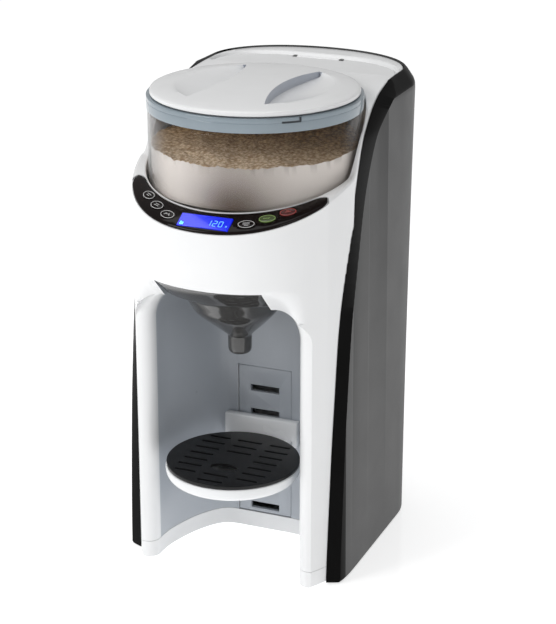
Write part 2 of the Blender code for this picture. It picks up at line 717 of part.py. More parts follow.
BUTTONS = [("button_left_outer", -0.0581, -0.0740, WHITE), ("button_left_middle", -0.0458, -0.0852, WHITE),
           ("button_left_inner", -0.0326, -0.0945, WHITE), ("button_right_inner", 0.0326, -0.0945, WHITE),
           ("button_right_middle", 0.0458, -0.0852, material("button_green", (0.05, 0.45, 0.12), 0.3)),
           ("button_right_outer", 0.0581, -0.0740, material("button_red", (0.60, 0.03, 0.03), 0.3))]
BUTTON_A, BUTTON_B = 0.0065, 0.0040
BUTTON_TRAVEL = 0.0008
holes, pockets = [], []
for name, x, y, paint in BUTTONS:
    place, turn = surface_frame(x, y)
    holes.append(placed(oval(BUTTON_A + 0.0004, BUTTON_B + 0.0004, -0.006, 0.006), place, turn))
    pockets.append(placed(oval(BUTTON_A + 0.0006, BUTTON_B + 0.0006, -0.0045, 0.004), place, turn))
    add(name, oval(BUTTON_A, BUTTON_B, -0.0030, 0.0003), paint, place=place, turn=turn)
boolean(control_panel, helper("button_holes", several(holes)))
boolean(front_shell, helper("button_pockets", several(pockets)))

place, turn = surface_frame(0.0, -0.0985)
boolean(control_panel, helper("display_hole", block(-0.0214, 0.0214, -0.0074, 0.0074, -0.006, 0.006),
                              place=place, turn=turn))
boolean(front_shell, helper("display_way", block(-0.0216, 0.0216, -0.0074, 0.0076, -0.0042, 0.005),
                            place=place, turn=turn))
add("display_module", block(-0.0210, 0.0210, -0.0070, 0.0070, -0.0036, 0.0, 0.0004, 1), BLUE,
    place=place, turn=turn)
ui_board = add("ui_board", block(-0.0222, 0.0222, -0.0975, -0.0959, 0.2720, 0.3000), BOARD)

# ------------------------------------------------------------ hopper, ring and lid
RING_TOP = 0.3900
turned("hopper", [(0.0800, 0.3840), (0.0828, 0.3840), (0.0828, 0.3777), (HOPPER_R, 0.3777),
                  (HOPPER_R, 0.2935), (0.0842, 0.2925), (0.0812, 0.2925), (0.0812, 0.2978),
                  (0.0828, 0.2980), (0.0828, 0.3740), (0.0800, 0.3785)], CLEAR, closed=True)
hopper_ring = turned(
    "hopper_ring", [(0.0800, RING_TOP), (0.0849, RING_TOP), (RING_R, RING_TOP - 0.0008),
                    (RING_R, 0.3781), (0.0832, 0.3781), (0.0832, 0.3844), (0.0800, 0.3844)],
    RING, closed=True)


def band_cut(a0, a1, r0, r1, z0, z1, steps=6):
    """A short arc of groove, angles in degrees from straight ahead."""
    rings = []
    for i in range(steps + 1):
        a = math.radians(a0 + (a1 - a0) * i / steps)
        s, c = math.sin(a), -math.cos(a)
        rings.append([(r0 * s, r0 * c, z0), (r1 * s, r1 * c, z0), (r1 * s, r1 * c, z1), (r0 * s, r0 * c, z1)])
    return loft(rings, "band")


boolean(hopper_ring, helper("latch_groove", band_cut(37.5, 46.6, 0.0850, 0.0870, 0.3856, 0.3868)))
boolean(hopper_ring, helper("latch_slot", band_cut(45.9, 46.7, 0.0850, 0.0870, 0.3862, 0.3910, 1)))

lid_profile = [(0, 0.3983), (0.030, 0.3979), (0.055, 0.3968), (0.072, 0.3954), (0.0805, 0.3943),
               (LID_R, 0.3928), (LID_R, LID_Z), (0.0770, LID_Z), (0.0770, 0.3848),
               (0.0745, 0.3848), (0.0745, 0.3880), (0, 0.3880)]
hopper_lid = turned("hopper_lid", lid_profile, WHITE)


def finger_well(side):
    """Hollow between the handle bar and the lid's edge, its floor rising outward."""
    rings = []
    for i in range(13):
        y = -0.0560 + 0.1120 * i / 12
        inner = 0.0225 + 0.0095 * (y / 0.056) ** 2
        outer = max(inner + 0.0008, math.sqrt(0.0655 ** 2 - y ** 2))
        rings.append([(side * inner, y, 0.3902), (side * outer, y, 0.3958),
                      (side * outer, y, 0.4050), (side * inner, y, 0.4050)])
    return loft(rings, "finger_well")


for side, name in ((1, "finger_well_right"), (-1, "finger_well_left")):
    boolean(hopper_lid, helper(name, finger_well(side)))
turned("lid_seal", [(0.0774, 0.3884), (0.0792, 0.3884), (0.0797, 0.3872), (0.0792, 0.3860),
                    (0.0774, 0.3860)], SILICONE, closed=True)

hopper_floor = turned("hopper_floor", [(0.0088, 0.3015), (0.0824, 0.3015), (0.0824, 0.2985), (0.0088, 0.2985)],
                      GREY, sides=48, closed=True)
boolean(hopper_floor, helper("outlet_wall", rod(0.0117, 0.2935, 0.3000, (0, CHUTE_Y))), "UNION")
boolean(hopper_floor, helper("outlet_bore", rod(0.0097, 0.2850, 0.3100, (0, CHUTE_Y))))

# ------------------------------------------------------------ dosing wheel and its drive
WHEEL_TOP = 0.3090
dosing_wheel = turned("dosing_wheel", [(0, WHEEL_TOP), (0.0640, WHEEL_TOP), (0.0640, 0.3020),
                                       (0.0083, 0.3020), (0.0083, 0.2932), (0, 0.2932)], NYLON, sides=40)
boolean(dosing_wheel, helper("dose_pockets", several(
    [rod(0.0090, 0.2990, 0.3200, (0.0500 * math.cos(k * math.pi / 4), 0.0500 * math.sin(k * math.pi / 4)), 16)
     for k in range(8)])))
boolean(dosing_wheel, helper("hex_socket", rod(0.0056, 0.2900, 0.3004, sides=6)))


def star(arms, inner, length, half, z0, z1):
    """Arms of even width around a hub."""
    ring = []
    for k in range(arms):
        a = 2 * math.pi * k / arms + math.pi / 2
        s, c = math.sin(a), math.cos(a)
        for u, v in ((inner, -half), (length, -half), (length, half), (inner, half)):
            ring.append((u * c - v * s, u * s + v * c))
    return prism(ring, z0, z1, "star")


stirrer = add("stirrer", star(3, 0.0080, 0.0740, 0.0032, 0.3100, 0.3160), NYLON)
boolean(stirrer, helper("stirrer_hub", rod(0.0125, 0.3096, 0.3230, top=0.0070)), "UNION")

drive_coupling = turned("drive_coupling", [(0, 0.2900), (0.0118, 0.2900), (0.0118, 0.2876), (0.0028, 0.2876),
                                           (0.0028, 0.2650), (0, 0.2650)], GREY, sides=24)
boolean(drive_coupling, helper("hex_post", rod(0.0050, 0.2890, 0.2990, sides=6)), "UNION")


def gear(teeth, pitch, start, root_half, tip_half, z0, z1, add_r=0.0013, root_r=0.0017):
    """A spur gear blank with straight-sided teeth; angles in degrees."""
    ring = []
    for k in range(teeth):
        middle = start + 360.0 * k / teeth
        for turn, r in ((-root_half, pitch - root_r), (-tip_half, pitch + add_r),
                        (tip_half, pitch + add_r), (root_half, pitch - root_r)):
            a = math.radians(middle + turn)
            ring.append((r * math.cos(a), r * math.sin(a)))
    return prism(ring, z0, z1, "gear")


GEAR_TEETH, PINION_TEETH = 36, 12
drive_gear = add("drive_gear", gear(GEAR_TEETH, 0.0270, 90.0, 3.0, 0.9, 0.2670, 0.2740), NYLON)
boolean(drive_gear, helper("gear_bore", rod(0.0031, 0.2600, 0.2800, sides=16)))
motor_pinion = add("motor_pinion", gear(PINION_TEETH, 0.0090, 270.0 + 15.0, 9.0, 3.0, 0.2665, 0.2745),
                   BRASS, place=(0, PINION_Y, 0))
boolean(motor_pinion, helper("pinion_bore", rod(0.0022, 0.2600, 0.2800, (0, PINION_Y), 16)))
gear_motor = turned("gear_motor", [(0, 0.2735), (0.0019, 0.2735), (0.0019, 0.2551), (0.0122, 0.2551),
                                   (0.0122, 0.2280), (0.0118, 0.2278), (0.0118, 0.1980), (0.0105, 0.1965),
                                   (0, 0.1965)], STEEL, sides=24, place=(0, PINION_Y, 0))
boolean(gear_motor, helper("motor_flange", block(-0.0185, 0.0185, 0.0240, 0.0486, 0.2520, 0.2545)), "UNION")

# ------------------------------------------------------------ funnel
FUNNEL_Y = -0.0450


def head_front(half_x, inset):
    """Front of the rounded head at a half width, set back by inset."""
    a, b = HEAD_A - inset, HEAD_B - inset
    return -b * (1 - (half_x / a) ** HEAD_N) ** (1 / HEAD_N)


def plate_ring(z, half, inset, rear, angles):
    """Outline of the funnel's head plate: round front, straight sides and rear."""
    a, b = HEAD_A - inset, HEAD_B - inset
    ring = []
    for angle in angles:
        s, c = math.sin(angle), -math.cos(angle)
        low, high = 0.0, 0.15
        for _ in range(40):
            r = (low + high) / 2
            x, y = s * r, FUNNEL_Y + c * r
            inside = (abs(x) <= half and y <= rear
                      and (abs(x) / a) ** HEAD_N + (abs(min(y, 0.0)) / b) ** HEAD_N <= 1)
            low, high = (r, high) if inside else (low, r)
        ring.append((s * low, FUNNEL_Y + c * low, z))
    return ring


def ellipse_ring(z, rx, front, rear, angles):
    ry, middle = (rear - front) / 2, (rear + front) / 2
    return [(rx * math.sin(a), middle - ry * math.cos(a), z) for a in angles]


corner_front = math.atan2(0.0461, -(head_front(0.0461, 0.0004) - FUNNEL_Y))
corner_rear = math.atan2(0.0461, -(0.0054 - FUNNEL_Y))
half_angles = [corner_front * i / 8 for i in range(9)]
half_angles += [corner_front + (corner_rear - corner_front) * i / 6 for i in range(1, 7)]
half_angles += [corner_rear + (math.pi - corner_rear) * i / 5 for i in range(1, 6)]
ANGLES = half_angles + [2 * math.pi - a for a in half_angles[-2:0:-1]]

funnel = add("funnel", loft([
    plate_ring(0.2574, 0.0446, 0.0022, 0.0054, ANGLES),
    plate_ring(0.2566, 0.0446, 0.0027, 0.0054, ANGLES),
    plate_ring(0.2416, 0.0446, 0.0182, 0.0052, ANGLES),
    ellipse_ring(0.2396, 0.0415, -0.0860, 0.0030, ANGLES),
    ellipse_ring(0.2220, 0.0330, -0.0735, -0.0040, ANGLES),
    ellipse_ring(0.2100, 0.0215, -0.0575, -0.0130, ANGLES),
    ellipse_ring(0.2005, 0.0125, -0.0465, -0.0205, ANGLES),
    ellipse_ring(0.1980, 0.0098, -0.0428, -0.0232, ANGLES),
    ellipse_ring(0.1870, 0.0096, -0.0426, -0.0234, ANGLES),
    ellipse_ring(0.1842, 0.0086, -0.0416, -0.0244, ANGLES),
    ellipse_ring(0.1830, 0.0072, -0.0402, -0.0258, ANGLES),
], "funnel"), SMOKE)
ROUND_28 = [2 * math.pi * i / 28 for i in range(28)]
boolean(funnel, helper("funnel_hollow", loft([
    ellipse_ring(0.2700, 0.0400, -0.0850, 0.0000, ROUND_28),
    ellipse_ring(0.2420, 0.0396, -0.0836, -0.0006, ROUND_28),
    ellipse_ring(0.2230, 0.0310, -0.0710, -0.0062, ROUND_28),
    ellipse_ring(0.2110, 0.0195, -0.0550, -0.0150, ROUND_28),
    ellipse_ring(0.2015, 0.0085, -0.0422, -0.0240, ROUND_28),
    ellipse_ring(0.1990, 0.0058, -0.0388, -0.0272, ROUND_28),
    ellipse_ring(0.1700, 0.0058, -0.0388, -0.0272, ROUND_28),
], "funnel_hollow")))
boolean(funnel, helper("water_port", rod(0.0055, -0.01, 0.01, (0, 0), 20),
                       place=(NOZZLE_X, 0.0030, NOZZLE_Z), turn=(math.pi / 2, 0, 0)))

turned("powder_chute", [(0.0112, 0.2906), (0.0146, 0.2906), (0.0146, 0.2588), (0.0112, 0.2588)], GREY,
       sides=24, closed=True, place=(0, CHUTE_Y, 0))
turned("chute_gasket", [(0.0121, 0.2930), (0.0160, 0.2930), (0.0160, 0.2913), (0.0121, 0.2913)], SILICONE,
       sides=24, closed=True, place=(0, CHUTE_Y, 0))

# ------------------------------------------------------------ bottle stand
turned("stand_tray", [(0, 0.0852), (0.0480, 0.0852), (0.0500, 0.0866), (0.0506, 0.0920),
                      (STAND_R, 0.0920), (STAND_R, 0.0893), (0.0533, 0.0862), (0.0508, 0.0836),
                      (0.0470, 0.0822), (0.0400, 0.0817), (0, 0.0817)], WHITE, place=(0, STAND_Y, 0))
stand_grille = turned("stand_grille", [(0, STAND_Z), (STAND_R - 0.0006, STAND_Z), (STAND_R, STAND_Z - 0.0006),
                                       (STAND_R, 0.0923), (0.0500, 0.0923), (0.0498, 0.0900), (0.0480, 0.0900),
                                       (0.0478, 0.0930), (0, 0.0930)], GRILLE, place=(0, STAND_Y, 0))


def slot(x0, x1, y, half=0.0014):
    return block(x0, x1, y - half, y + half, 0.0880, 0.1000)


SLOT_PITCH = 0.0116
slots = []
for k in range(-3, 4):
    reach = 0.0385 if abs(k) < 3 else 0.0360
    slots += [slot(s * 0.0175 if s > 0 else -reach, reach if s > 0 else -0.0175, SLOT_PITCH * k)
              for s in (1, -1)]
slots += [slot(-0.0110, 0.0110, SLOT_PITCH * k) for k in (-4, -3, 1, 2, 3)]
boolean(stand_grille, helper("grille_slots", several(slots), place=(0, STAND_Y, 0)))
boolean(stand_grille, helper("finger_hole", oval(0.0115, 0.0062, 0.0880, 0.1000, 24),
                             place=(0, STAND_Y - 0.0186, 0)))

stand_bracket = add("stand_bracket", block(-0.0330, 0.0330, 0.0085, 0.0158, 0.0850, 0.1080, 0.0016, 2), GREY)
boolean(stand_bracket, helper("hook_tabs", block(-0.0112, 0.0112, 0.0150, 0.0238, HOOK_Z[3] - 0.0022,
                                                 HOOK_Z[3] + 0.0022)), "UNION")
boolean(stand_bracket, helper("stand_web", block(-0.0280, 0.0280, 0.0010, 0.0120, 0.0858, 0.0912)), "UNION")
boolean(stand_bracket, helper("tray_room", rod(STAND_R + GAP, 0.0800, 0.1200, (0, STAND_Y), SEG)))

# ------------------------------------------------------------ water tank
HINGE_Y, HINGE_Z = 0.1362, 0.3864
lid_half = offset(LID_PLAN[2:], 0.0005)
flange_half = [(0.0, 0.0910), (0.0790, 0.0910)] + lid_half
water_tank = add("water_tank", prism(mirrored([(0.0, 0.0985), (0.0580, 0.0985)] + offset(WELL_PLAN[2:], 0.0010)),
                                     TANK_Z0, 0.3815, "water_tank"), SMOKE)
boolean(water_tank, helper("tank_flange", prism(mirrored(flange_half), RECESS_Z + 0.0004, 0.3826)), "UNION")
boolean(water_tank, helper("tank_inside", prism(mirrored(
    [(0.0, 0.1009), (0.0556, 0.1009)] + offset(WELL_PLAN[2:], 0.0034)), TANK_Z0 + 0.0022, 0.42)))
boolean(water_tank, helper("valve_hole", rod(0.0042, 0.0600, 0.0800, (0, TANK_Y))))
boolean(water_tank, helper("hinge_ears", several(
    [block(s * 0.0210 - 0.0015, s * 0.0210 + 0.0015, 0.1344, 0.1384, 0.3818, 0.3882) for s in (-1, 1)])), "UNION")
boolean(water_tank, helper("ear_bore", rod(0.0012, -0.03, 0.03, (0, 0), 12), place=(0, HINGE_Y, HINGE_Z),
                           turn=(0, math.pi / 2, 0)))
boolean(water_tank, helper("float_rail", rod(0.0025, 0.0715, 0.3300, (0.0400, 0.1130), 12)), "UNION")
tank_lid = add("tank_lid", prism(mirrored(flange_half), 0.3844, 0.3876, "tank_lid"), WHITE)
boolean(tank_lid, helper("hinge_barrel", rod(0.0019, -0.0226, 0.0226, (0, 0), 16), place=(0, HINGE_Y, HINGE_Z),
                         turn=(0, math.pi / 2, 0)), "UNION")
boolean(tank_lid, helper("ear_notches", several(
    [block(s * 0.0210 - 0.0021, s * 0.0210 + 0.0021, 0.1335, 0.1420, 0.3800, 0.3950) for s in (-1, 1)])))
boolean(tank_lid, helper("lid_bore", rod(0.0012, -0.04, 0.04, (0, 0), 12), place=(0, HINGE_Y, HINGE_Z),
                         turn=(0, math.pi / 2, 0)))
add("tank_hinge_pin", rod(0.0010, -0.0224, 0.0224, (0, 0), 12), STEEL, place=(0, HINGE_Y, HINGE_Z),
    turn=(0, math.pi / 2, 0))

turned("tank_valve", [(0, 0.0784), (0.0095, 0.0784), (0.0095, 0.0762), (0.0022, 0.0762), (0.0022, 0.0602),
                      (0.0042, 0.0602), (0.0042, 0.0588), (0, 0.0588)], GREY, sides=24, place=(0, TANK_Y, 0))
turned("valve_seal", [(0.0050, 0.0760), (0.0092, 0.0760), (0.0092, 0.0744), (0.0050, 0.0744)], SILICONE,
       sides=24, closed=True, place=(0, TANK_Y, 0))
coil = [(0.0032 * math.cos(t * math.pi / 4), TANK_Y + 0.0032 * math.sin(t * math.pi / 4),
         0.0610 + 0.0082 * t / 40) for t in range(41)]
wire("valve_spring", coil, 0.0004, STEEL)
tank_seat = turned("tank_seat", [(0, 0.0570), (0.0018, 0.0570), (0.0018, 0.0535), (0.0095, 0.0535), (0.0095, 0.0690),
                                 (0.0136, 0.0690), (0.0136, 0.0500), (0, 0.0500)], GREY, sides=24,
                   place=(0, TANK_Y, 0))
boolean(tank_seat, helper("seat_outlet", rod(0.0018, 0.0480, 0.0560, (0.0056, TANK_Y), 12)))
turned("level_float", [(0.0031, 0.0860), (0.0090, 0.0860), (0.0090, 0.0750), (0.0031, 0.0750)], NYLON,
       sides=24, closed=True, place=(0.0400, 0.1130, 0))

# ------------------------------------------------------------ water works
PUMP_X, HEATER_X, WORKS_Y = -0.0420, 0.0460, 0.0580
pump = turned("pump", [(0, 0.0900), (0.0030, 0.0900), (0.0030, 0.0850), (0.0160, 0.0850), (0.0160, 0.0620),
                       (0.0130, 0.0600), (0.0130, 0.0310), (0, 0.0310)], GREY, sides=24,
              place=(PUMP_X, WORKS_Y, 0))
boolean(pump, helper("pump_inlet", rod(0.0030, -0.006, 0.006, (0, 0), 12),
                     place=(PUMP_X + 0.0160, WORKS_Y, 0.0400), turn=(0, math.pi / 2, 0)), "UNION")
turned("heater", [(0, 0.2050), (0.0030, 0.2050), (0.0030, 0.2000), (0.0170, 0.1980), (0.0170, 0.1120),
                  (0.0030, 0.1100), (0.0030, 0.1050), (0, 0.1050)], STEEL, sides=24,
       place=(HEATER_X, WORKS_Y, 0))
wire("cold_tube", bend([(0.0056, TANK_Y, 0.0496), (0.0056, TANK_Y, 0.0400), (0.0056, WORKS_Y, 0.0400),
                        (PUMP_X + 0.0224, WORKS_Y, 0.0400)], 0.0070), 0.0028, TUBE)
wire("pressure_tube", bend([(PUMP_X, WORKS_Y, 0.0904), (PUMP_X, WORKS_Y, 0.0975), (HEATER_X, WORKS_Y, 0.0975),
                            (HEATER_X, WORKS_Y, 0.1046)], 0.0050), 0.0028, TUBE)
wire("nozzle_tube", bend([(HEATER_X, WORKS_Y, 0.2054), (HEATER_X, WORKS_Y, NOZZLE_Z),
                          (NOZZLE_X, WORKS_Y, NOZZLE_Z), (NOZZLE_X, 0.0304, NOZZLE_Z)], 0.0080), 0.0028, TUBE)
water_nozzle = turned("water_nozzle", [(0.0016, 0.0040), (0.0036, 0.0030), (0.0040, -0.0229), (0.0056, -0.0229),
                                       (0.0056, -0.0262), (0.0030, -0.0262), (0.0030, -0.0300), (0.0016, -0.0300)],
                      SILICONE, sides=20, closed=True, place=(NOZZLE_X, 0, NOZZLE_Z), turn=(math.pi / 2, 0, 0))

main_board = add("main_board", block(-0.0725, -0.0709, 0.0300, 0.0880, 0.0950, 0.2000), BOARD)
boolean(main_board, helper("board_relay", block(-0.0715, -0.0600, 0.0400, 0.0560, 0.1100, 0.1300)), "UNION")
boolean(main_board, helper("board_choke", rod(0.0070, -0.0010, 0.0140, (0, 0), 16),
                           place=(-0.0712, 0.0700, 0.1650), turn=(0, math.pi / 2, 0)), "UNION")

# ------------------------------------------------------------ inlet and switch
appliance_inlet = add("appliance_inlet", block(-0.0225, 0.0035, 0.1420, 0.1570, 0.0290, 0.0490), GRILLE)
boolean(appliance_inlet, helper("inlet_flange", block(-0.0245, 0.0055, 0.1560, 0.1580, 0.0270, 0.0510)), "UNION")
boolean(appliance_inlet, helper("inlet_socket", block(-0.0195, 0.0005, 0.1470, 0.1700, 0.0330, 0.0450)))
boolean(appliance_inlet, helper("inlet_pins", several(
    [rod(0.0011, -0.0060, 0.0070, (x, 0), 10) for x in (-0.0130, -0.0060)]),
    place=(0, 0.1480, 0.0390), turn=(-math.pi / 2, 0, 0)), "UNION")
switch_housing = add("switch_housing", block(0.0086, 0.0204, 0.1430, 0.1576, 0.0311, 0.0469), GRILLE)
boolean(switch_housing, helper("switch_room", block(0.0100, 0.0190, 0.1480, 0.1700, 0.0325, 0.0455)))
SWITCH_Y, SWITCH_Z = 0.1545, 0.0390
add("power_switch", side_prism([(0.0040, -0.0050), (0.0024, 0.0), (0.0022, 0.0050), (-0.0012, 0.0050),
                                (-0.0030, 0.0), (-0.0012, -0.0050)], -0.0041, 0.0041), GRILLE,
    place=(0.0145, SWITCH_Y, SWITCH_Z))
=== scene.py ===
# A countertop machine that doses milk powder and water into a bottle: a white body with charcoal
# covers, a clear powder hopper under a round lid, a funnel over the bottle bay and a stand.
# Metres, Z up, floor at z = 0. The front faces -Y and +X is on the right seen from the front.
# Pieces are modelled about the upright hopper axis (x = y = 0), then moved to y = AXIS_Y.
import json
from math import atan2, cos, hypot, pi, radians, sin, sqrt

import bmesh
import bpy
from mathutils import Matrix, Vector, noise


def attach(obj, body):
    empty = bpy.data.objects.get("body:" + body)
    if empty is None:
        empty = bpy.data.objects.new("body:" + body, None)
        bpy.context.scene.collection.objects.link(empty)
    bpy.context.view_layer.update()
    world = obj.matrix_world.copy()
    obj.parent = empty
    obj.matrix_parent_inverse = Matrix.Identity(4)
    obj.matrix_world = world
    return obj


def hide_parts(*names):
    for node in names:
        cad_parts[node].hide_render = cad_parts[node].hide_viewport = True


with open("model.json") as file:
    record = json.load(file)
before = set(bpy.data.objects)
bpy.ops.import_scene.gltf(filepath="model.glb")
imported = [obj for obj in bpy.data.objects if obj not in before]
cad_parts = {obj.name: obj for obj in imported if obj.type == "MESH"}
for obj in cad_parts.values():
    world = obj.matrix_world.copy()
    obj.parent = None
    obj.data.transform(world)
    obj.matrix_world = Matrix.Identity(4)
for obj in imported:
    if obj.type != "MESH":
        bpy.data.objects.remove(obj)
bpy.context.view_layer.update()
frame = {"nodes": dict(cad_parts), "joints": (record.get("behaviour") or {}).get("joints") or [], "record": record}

record = frame["record"]
SLOT_OF = {part["node"]: part["material_slot"] for part in record["subparts"]}
BODY_OF = {node: body for body, nodes in record["behaviour"]["bodies"].items() for node in nodes}
JOINTS = {joint["name"]: joint for joint in frame["joints"]}
AXIS_Y = JOINTS["lid_twist"]["pos_m"][1]
SHIFT = Vector((0, AXIS_Y, 0))


# ================================================================ materials
def add_node(tree, kind, inputs=None, **settings):
    """A shader node; each input is given a value or the output socket that feeds it."""
    made = tree.nodes.new("ShaderNode" + kind)
    for key, value in settings.items():
        setattr(made, key, value)
    for key, value in (inputs or {}).items():
        if isinstance(value, bpy.types.NodeSocket):
            tree.links.new(value, made.inputs[key])
        else:
            made.inputs[key].default_value = value
    return made


def add_ramp(tree, factor, low, high):
    """A colour ramp between two stops, each (position, colour)."""
    made = add_node(tree, "ValToRGB", {"Fac": factor})
    for stop, (position, colour) in zip(made.color_ramp.elements, (low, high)):
        stop.position = position
        stop.color = (*colour, 1)
    return made.outputs["Color"]


def mix_base(tree, factor, first, second):
    """Mixes two colours into the base colour."""
    mix = add_node(tree, "Mix", {"Factor": factor, "A": first, "B": second}, data_type="RGBA")
    tree.links.new(mix.outputs["Result"], tree.nodes["Principled BSDF"].inputs["Base Color"])


def paint(name, colour, rough, metal=0.0, alpha=1.0, edge_alpha=None, mottle=0.03,
          mottle_scale=35.0, grain=0.0, grain_scale=900.0, coat=0.0, rough_vary=0.06,
          specular=0.5, emit=None, emit_strength=0.0):
    """Moulded finish: colour mottle, uneven polish and a fine surface grain, all from noise.

    A mottle of 0 leaves the base colour unlinked. edge_alpha is the opacity at grazing angles.
    """
    made = bpy.data.materials.new(name)
    made.use_nodes = True
    tree = made.node_tree
    shader = tree.nodes["Principled BSDF"]
    link = tree.links.new
    where = add_node(tree, "TexCoord").outputs["Object"]
    wide = add_node(tree, "TexNoise",
                    {"Scale": mottle_scale, "Detail": 3.0, "Vector": where}).outputs["Fac"]
    if mottle:
        tint = add_ramp(tree, wide, low=(0.3, [part * (1 - mottle) for part in colour]),
                        high=(0.7, [min(1, part * (1 + mottle)) for part in colour]))
        link(tint, shader.inputs["Base Color"])
    polish = add_node(tree, "MapRange", {"To Min": max(0.02, rough - rough_vary),
                                         "To Max": min(1.0, rough + rough_vary), "Value": wide})
    link(polish.outputs["Result"], shader.inputs["Roughness"])
    if grain:
        fine = add_node(tree, "TexNoise", {"Scale": grain_scale, "Detail": 2.0, "Vector": where})
        bump = add_node(tree, "Bump", {"Strength": grain, "Distance": 0.0003,
                                       "Height": fine.outputs["Fac"]})
        link(bump.outputs["Normal"], shader.inputs["Normal"])
    values = {"Metallic": metal, "Specular IOR Level": specular, "Coat Weight": coat,
              "Coat Roughness": 0.05, "Alpha": alpha}
    if emit:
        values["Emission Color"] = (*emit, 1)
        values["Emission Strength"] = emit_strength
    for key, value in values.items():
        shader.inputs[key].default_value = value
    if edge_alpha is not None:
        rim = add_node(tree, "LayerWeight", {"Blend": 0.35})
        span = add_node(tree, "MapRange", {"From Min": 0.35, "From Max": 0.98, "To Min": alpha,
                                           "To Max": edge_alpha, "Value": rim.outputs["Facing"]})
        link(span.outputs["Result"], shader.inputs["Alpha"])
    made.diffuse_color = (*colour, alpha)
    return made


WHITE = paint("white_gloss", (0.84, 0.845, 0.85), rough=0.24, mottle=0.008, grain=0.02, coat=0.25)
CHARCOAL = paint("charcoal", (0.040, 0.040, 0.040), rough=0.46, mottle=0.05, grain=0.10,
                 grain_scale=1800)
# Painted reflection: near-black where the covers' rounded front and top edges reflect dark; the rest of each cover
# keeps the charcoal above.
BAND_PAINTED_REFLECTION = paint("charcoal_painted_reflection", (0.0022, 0.0021, 0.0021), rough=0.30, mottle=0.15,
             rough_vary=0.04, specular=0.05)
# Painted shade: a greyer, bluer white standing in for the shade inside the bottle bay.
BAY_PAINTED_SHADE = paint("white_painted_shade", (0.43, 0.46, 0.50), rough=0.30, mottle=0.015, grain=0.02, coat=0.2)
BLACK = paint("black_gloss", (0.0062, 0.0034, 0.0030), rough=0.08, mottle=0.2, rough_vary=0.03,
              specular=0.14)
DISPLAY = paint("display_blue", (0.004, 0.015, 0.50), rough=0.12, mottle=0.15, mottle_scale=60,
                emit=(0.004, 0.015, 0.75), emit_strength=0.62, coat=0.3)
# Painted shade: grey-blue on the steep walls of the lid's finger wells.
WELL_PAINTED_SHADE = paint("white_well_painted_shade", (0.42, 0.45, 0.51), rough=0.30, mottle=0.01, grain=0.02)
# Painted shade: dark inside the ring's bayonet groove.
GROOVE_PAINTED_SHADE = paint("groove_painted_shade", (0.05, 0.06, 0.07), rough=0.35, mottle=0.1)
DIGIT = paint("display_digit", (0.10, 0.45, 1.0), rough=0.3, emit=(0.16, 0.50, 1.0),
              emit_strength=0.9)
GLOW = paint("display_glow", (0.10, 0.75, 1.0), rough=0.3, emit=(0.15, 0.80, 1.0),
             emit_strength=1.6)
CLEAR = paint("clear_plastic", (0.16, 0.15, 0.145), rough=0.04, alpha=0.06, edge_alpha=0.90,
              mottle=0.02, coat=0.7, rough_vary=0.02)
RINGS = paint("ring_blue_grey", (0.25, 0.305, 0.345), rough=0.14, mottle=0.06, alpha=0.88,
              edge_alpha=0.98, coat=0.5)
SMOKE = paint("smoke_plastic", (0.055, 0.054, 0.053), rough=0.10, mottle=0.08, alpha=0.88,
              edge_alpha=0.98, coat=0.5)
GRILLE = paint("black_satin", (0.009, 0.009, 0.0095), rough=0.36, mottle=0.15, specular=0.28,
               grain=0.18, grain_scale=1400)
RUBBER = paint("rubber", (0.035, 0.035, 0.036), rough=0.75, mottle=0.12, grain=0.4,
               grain_scale=1200)
SILICONE = paint("silicone", (0.72, 0.73, 0.74), rough=0.5, mottle=0.03, grain=0.12)
GREY = paint("grey_plastic", (0.30, 0.31, 0.32), rough=0.42, mottle=0.06, grain=0.2,
             grain_scale=1100)
NYLON = paint("nylon", (0.76, 0.74, 0.67), rough=0.42, mottle=0.03, grain=0.12)
STEEL = paint("steel", (0.58, 0.58, 0.58), rough=0.30, metal=1.0, mottle=0.06, grain=0.25,
              grain_scale=700)
BRASS = paint("brass", (0.68, 0.47, 0.17), rough=0.28, metal=1.0, mottle=0.08, grain=0.2)
BOARD = paint("board_green", (0.018, 0.16, 0.06), rough=0.38, mottle=0.25, mottle_scale=220,
              grain=0.3)
MARK_WHITE = paint("button_rim_white", (0.66, 0.66, 0.66), rough=0.35, mottle=0.05)
MARK_GREEN = paint("button_rim_green", (0.30, 0.46, 0.14), rough=0.35, mottle=0.08)
MARK_RED = paint("button_rim_red", (0.42, 0.07, 0.06), rough=0.35, mottle=0.08)
CAP_GREEN = paint("button_green", (0.055, 0.085, 0.022), rough=0.12, mottle=0.15, coat=0.5)
CAP_RED = paint("button_red", (0.075, 0.012, 0.012), rough=0.12, mottle=0.15, coat=0.5)


def powder_top():
    """Loose milk powder: beige crumbs in front, darker ochre brown behind as painted shade of the ring."""
    made = paint("powder_top", (0.60, 0.52, 0.44), rough=0.85, mottle=0, grain=0.6,
                 grain_scale=620, rough_vary=0.08, specular=0.12)
    tree = made.node_tree
    where = add_node(tree, "TexCoord").outputs["Object"]
    crumbs = add_node(tree, "TexVoronoi", {"Scale": 330.0, "Vector": where}).outputs["Distance"]
    front = add_ramp(tree, crumbs, low=(0.15, (0.90, 0.74, 0.55)), high=(0.75, (0.46, 0.31, 0.18)))
    # the rear crumbs are darker: painted shade of the ring
    back = add_ramp(tree, crumbs, low=(0.15, (0.52, 0.33, 0.14)), high=(0.75, (0.20, 0.11, 0.038)))
    place = add_node(tree, "SeparateXYZ", {"Vector": where})
    depth = add_node(tree, "MapRange", {"From Min": AXIS_Y - 0.064, "From Max": AXIS_Y + 0.016,
                                        "Value": place.outputs["Y"]})
    mix_base(tree, depth.outputs["Result"], front, back)
    return made


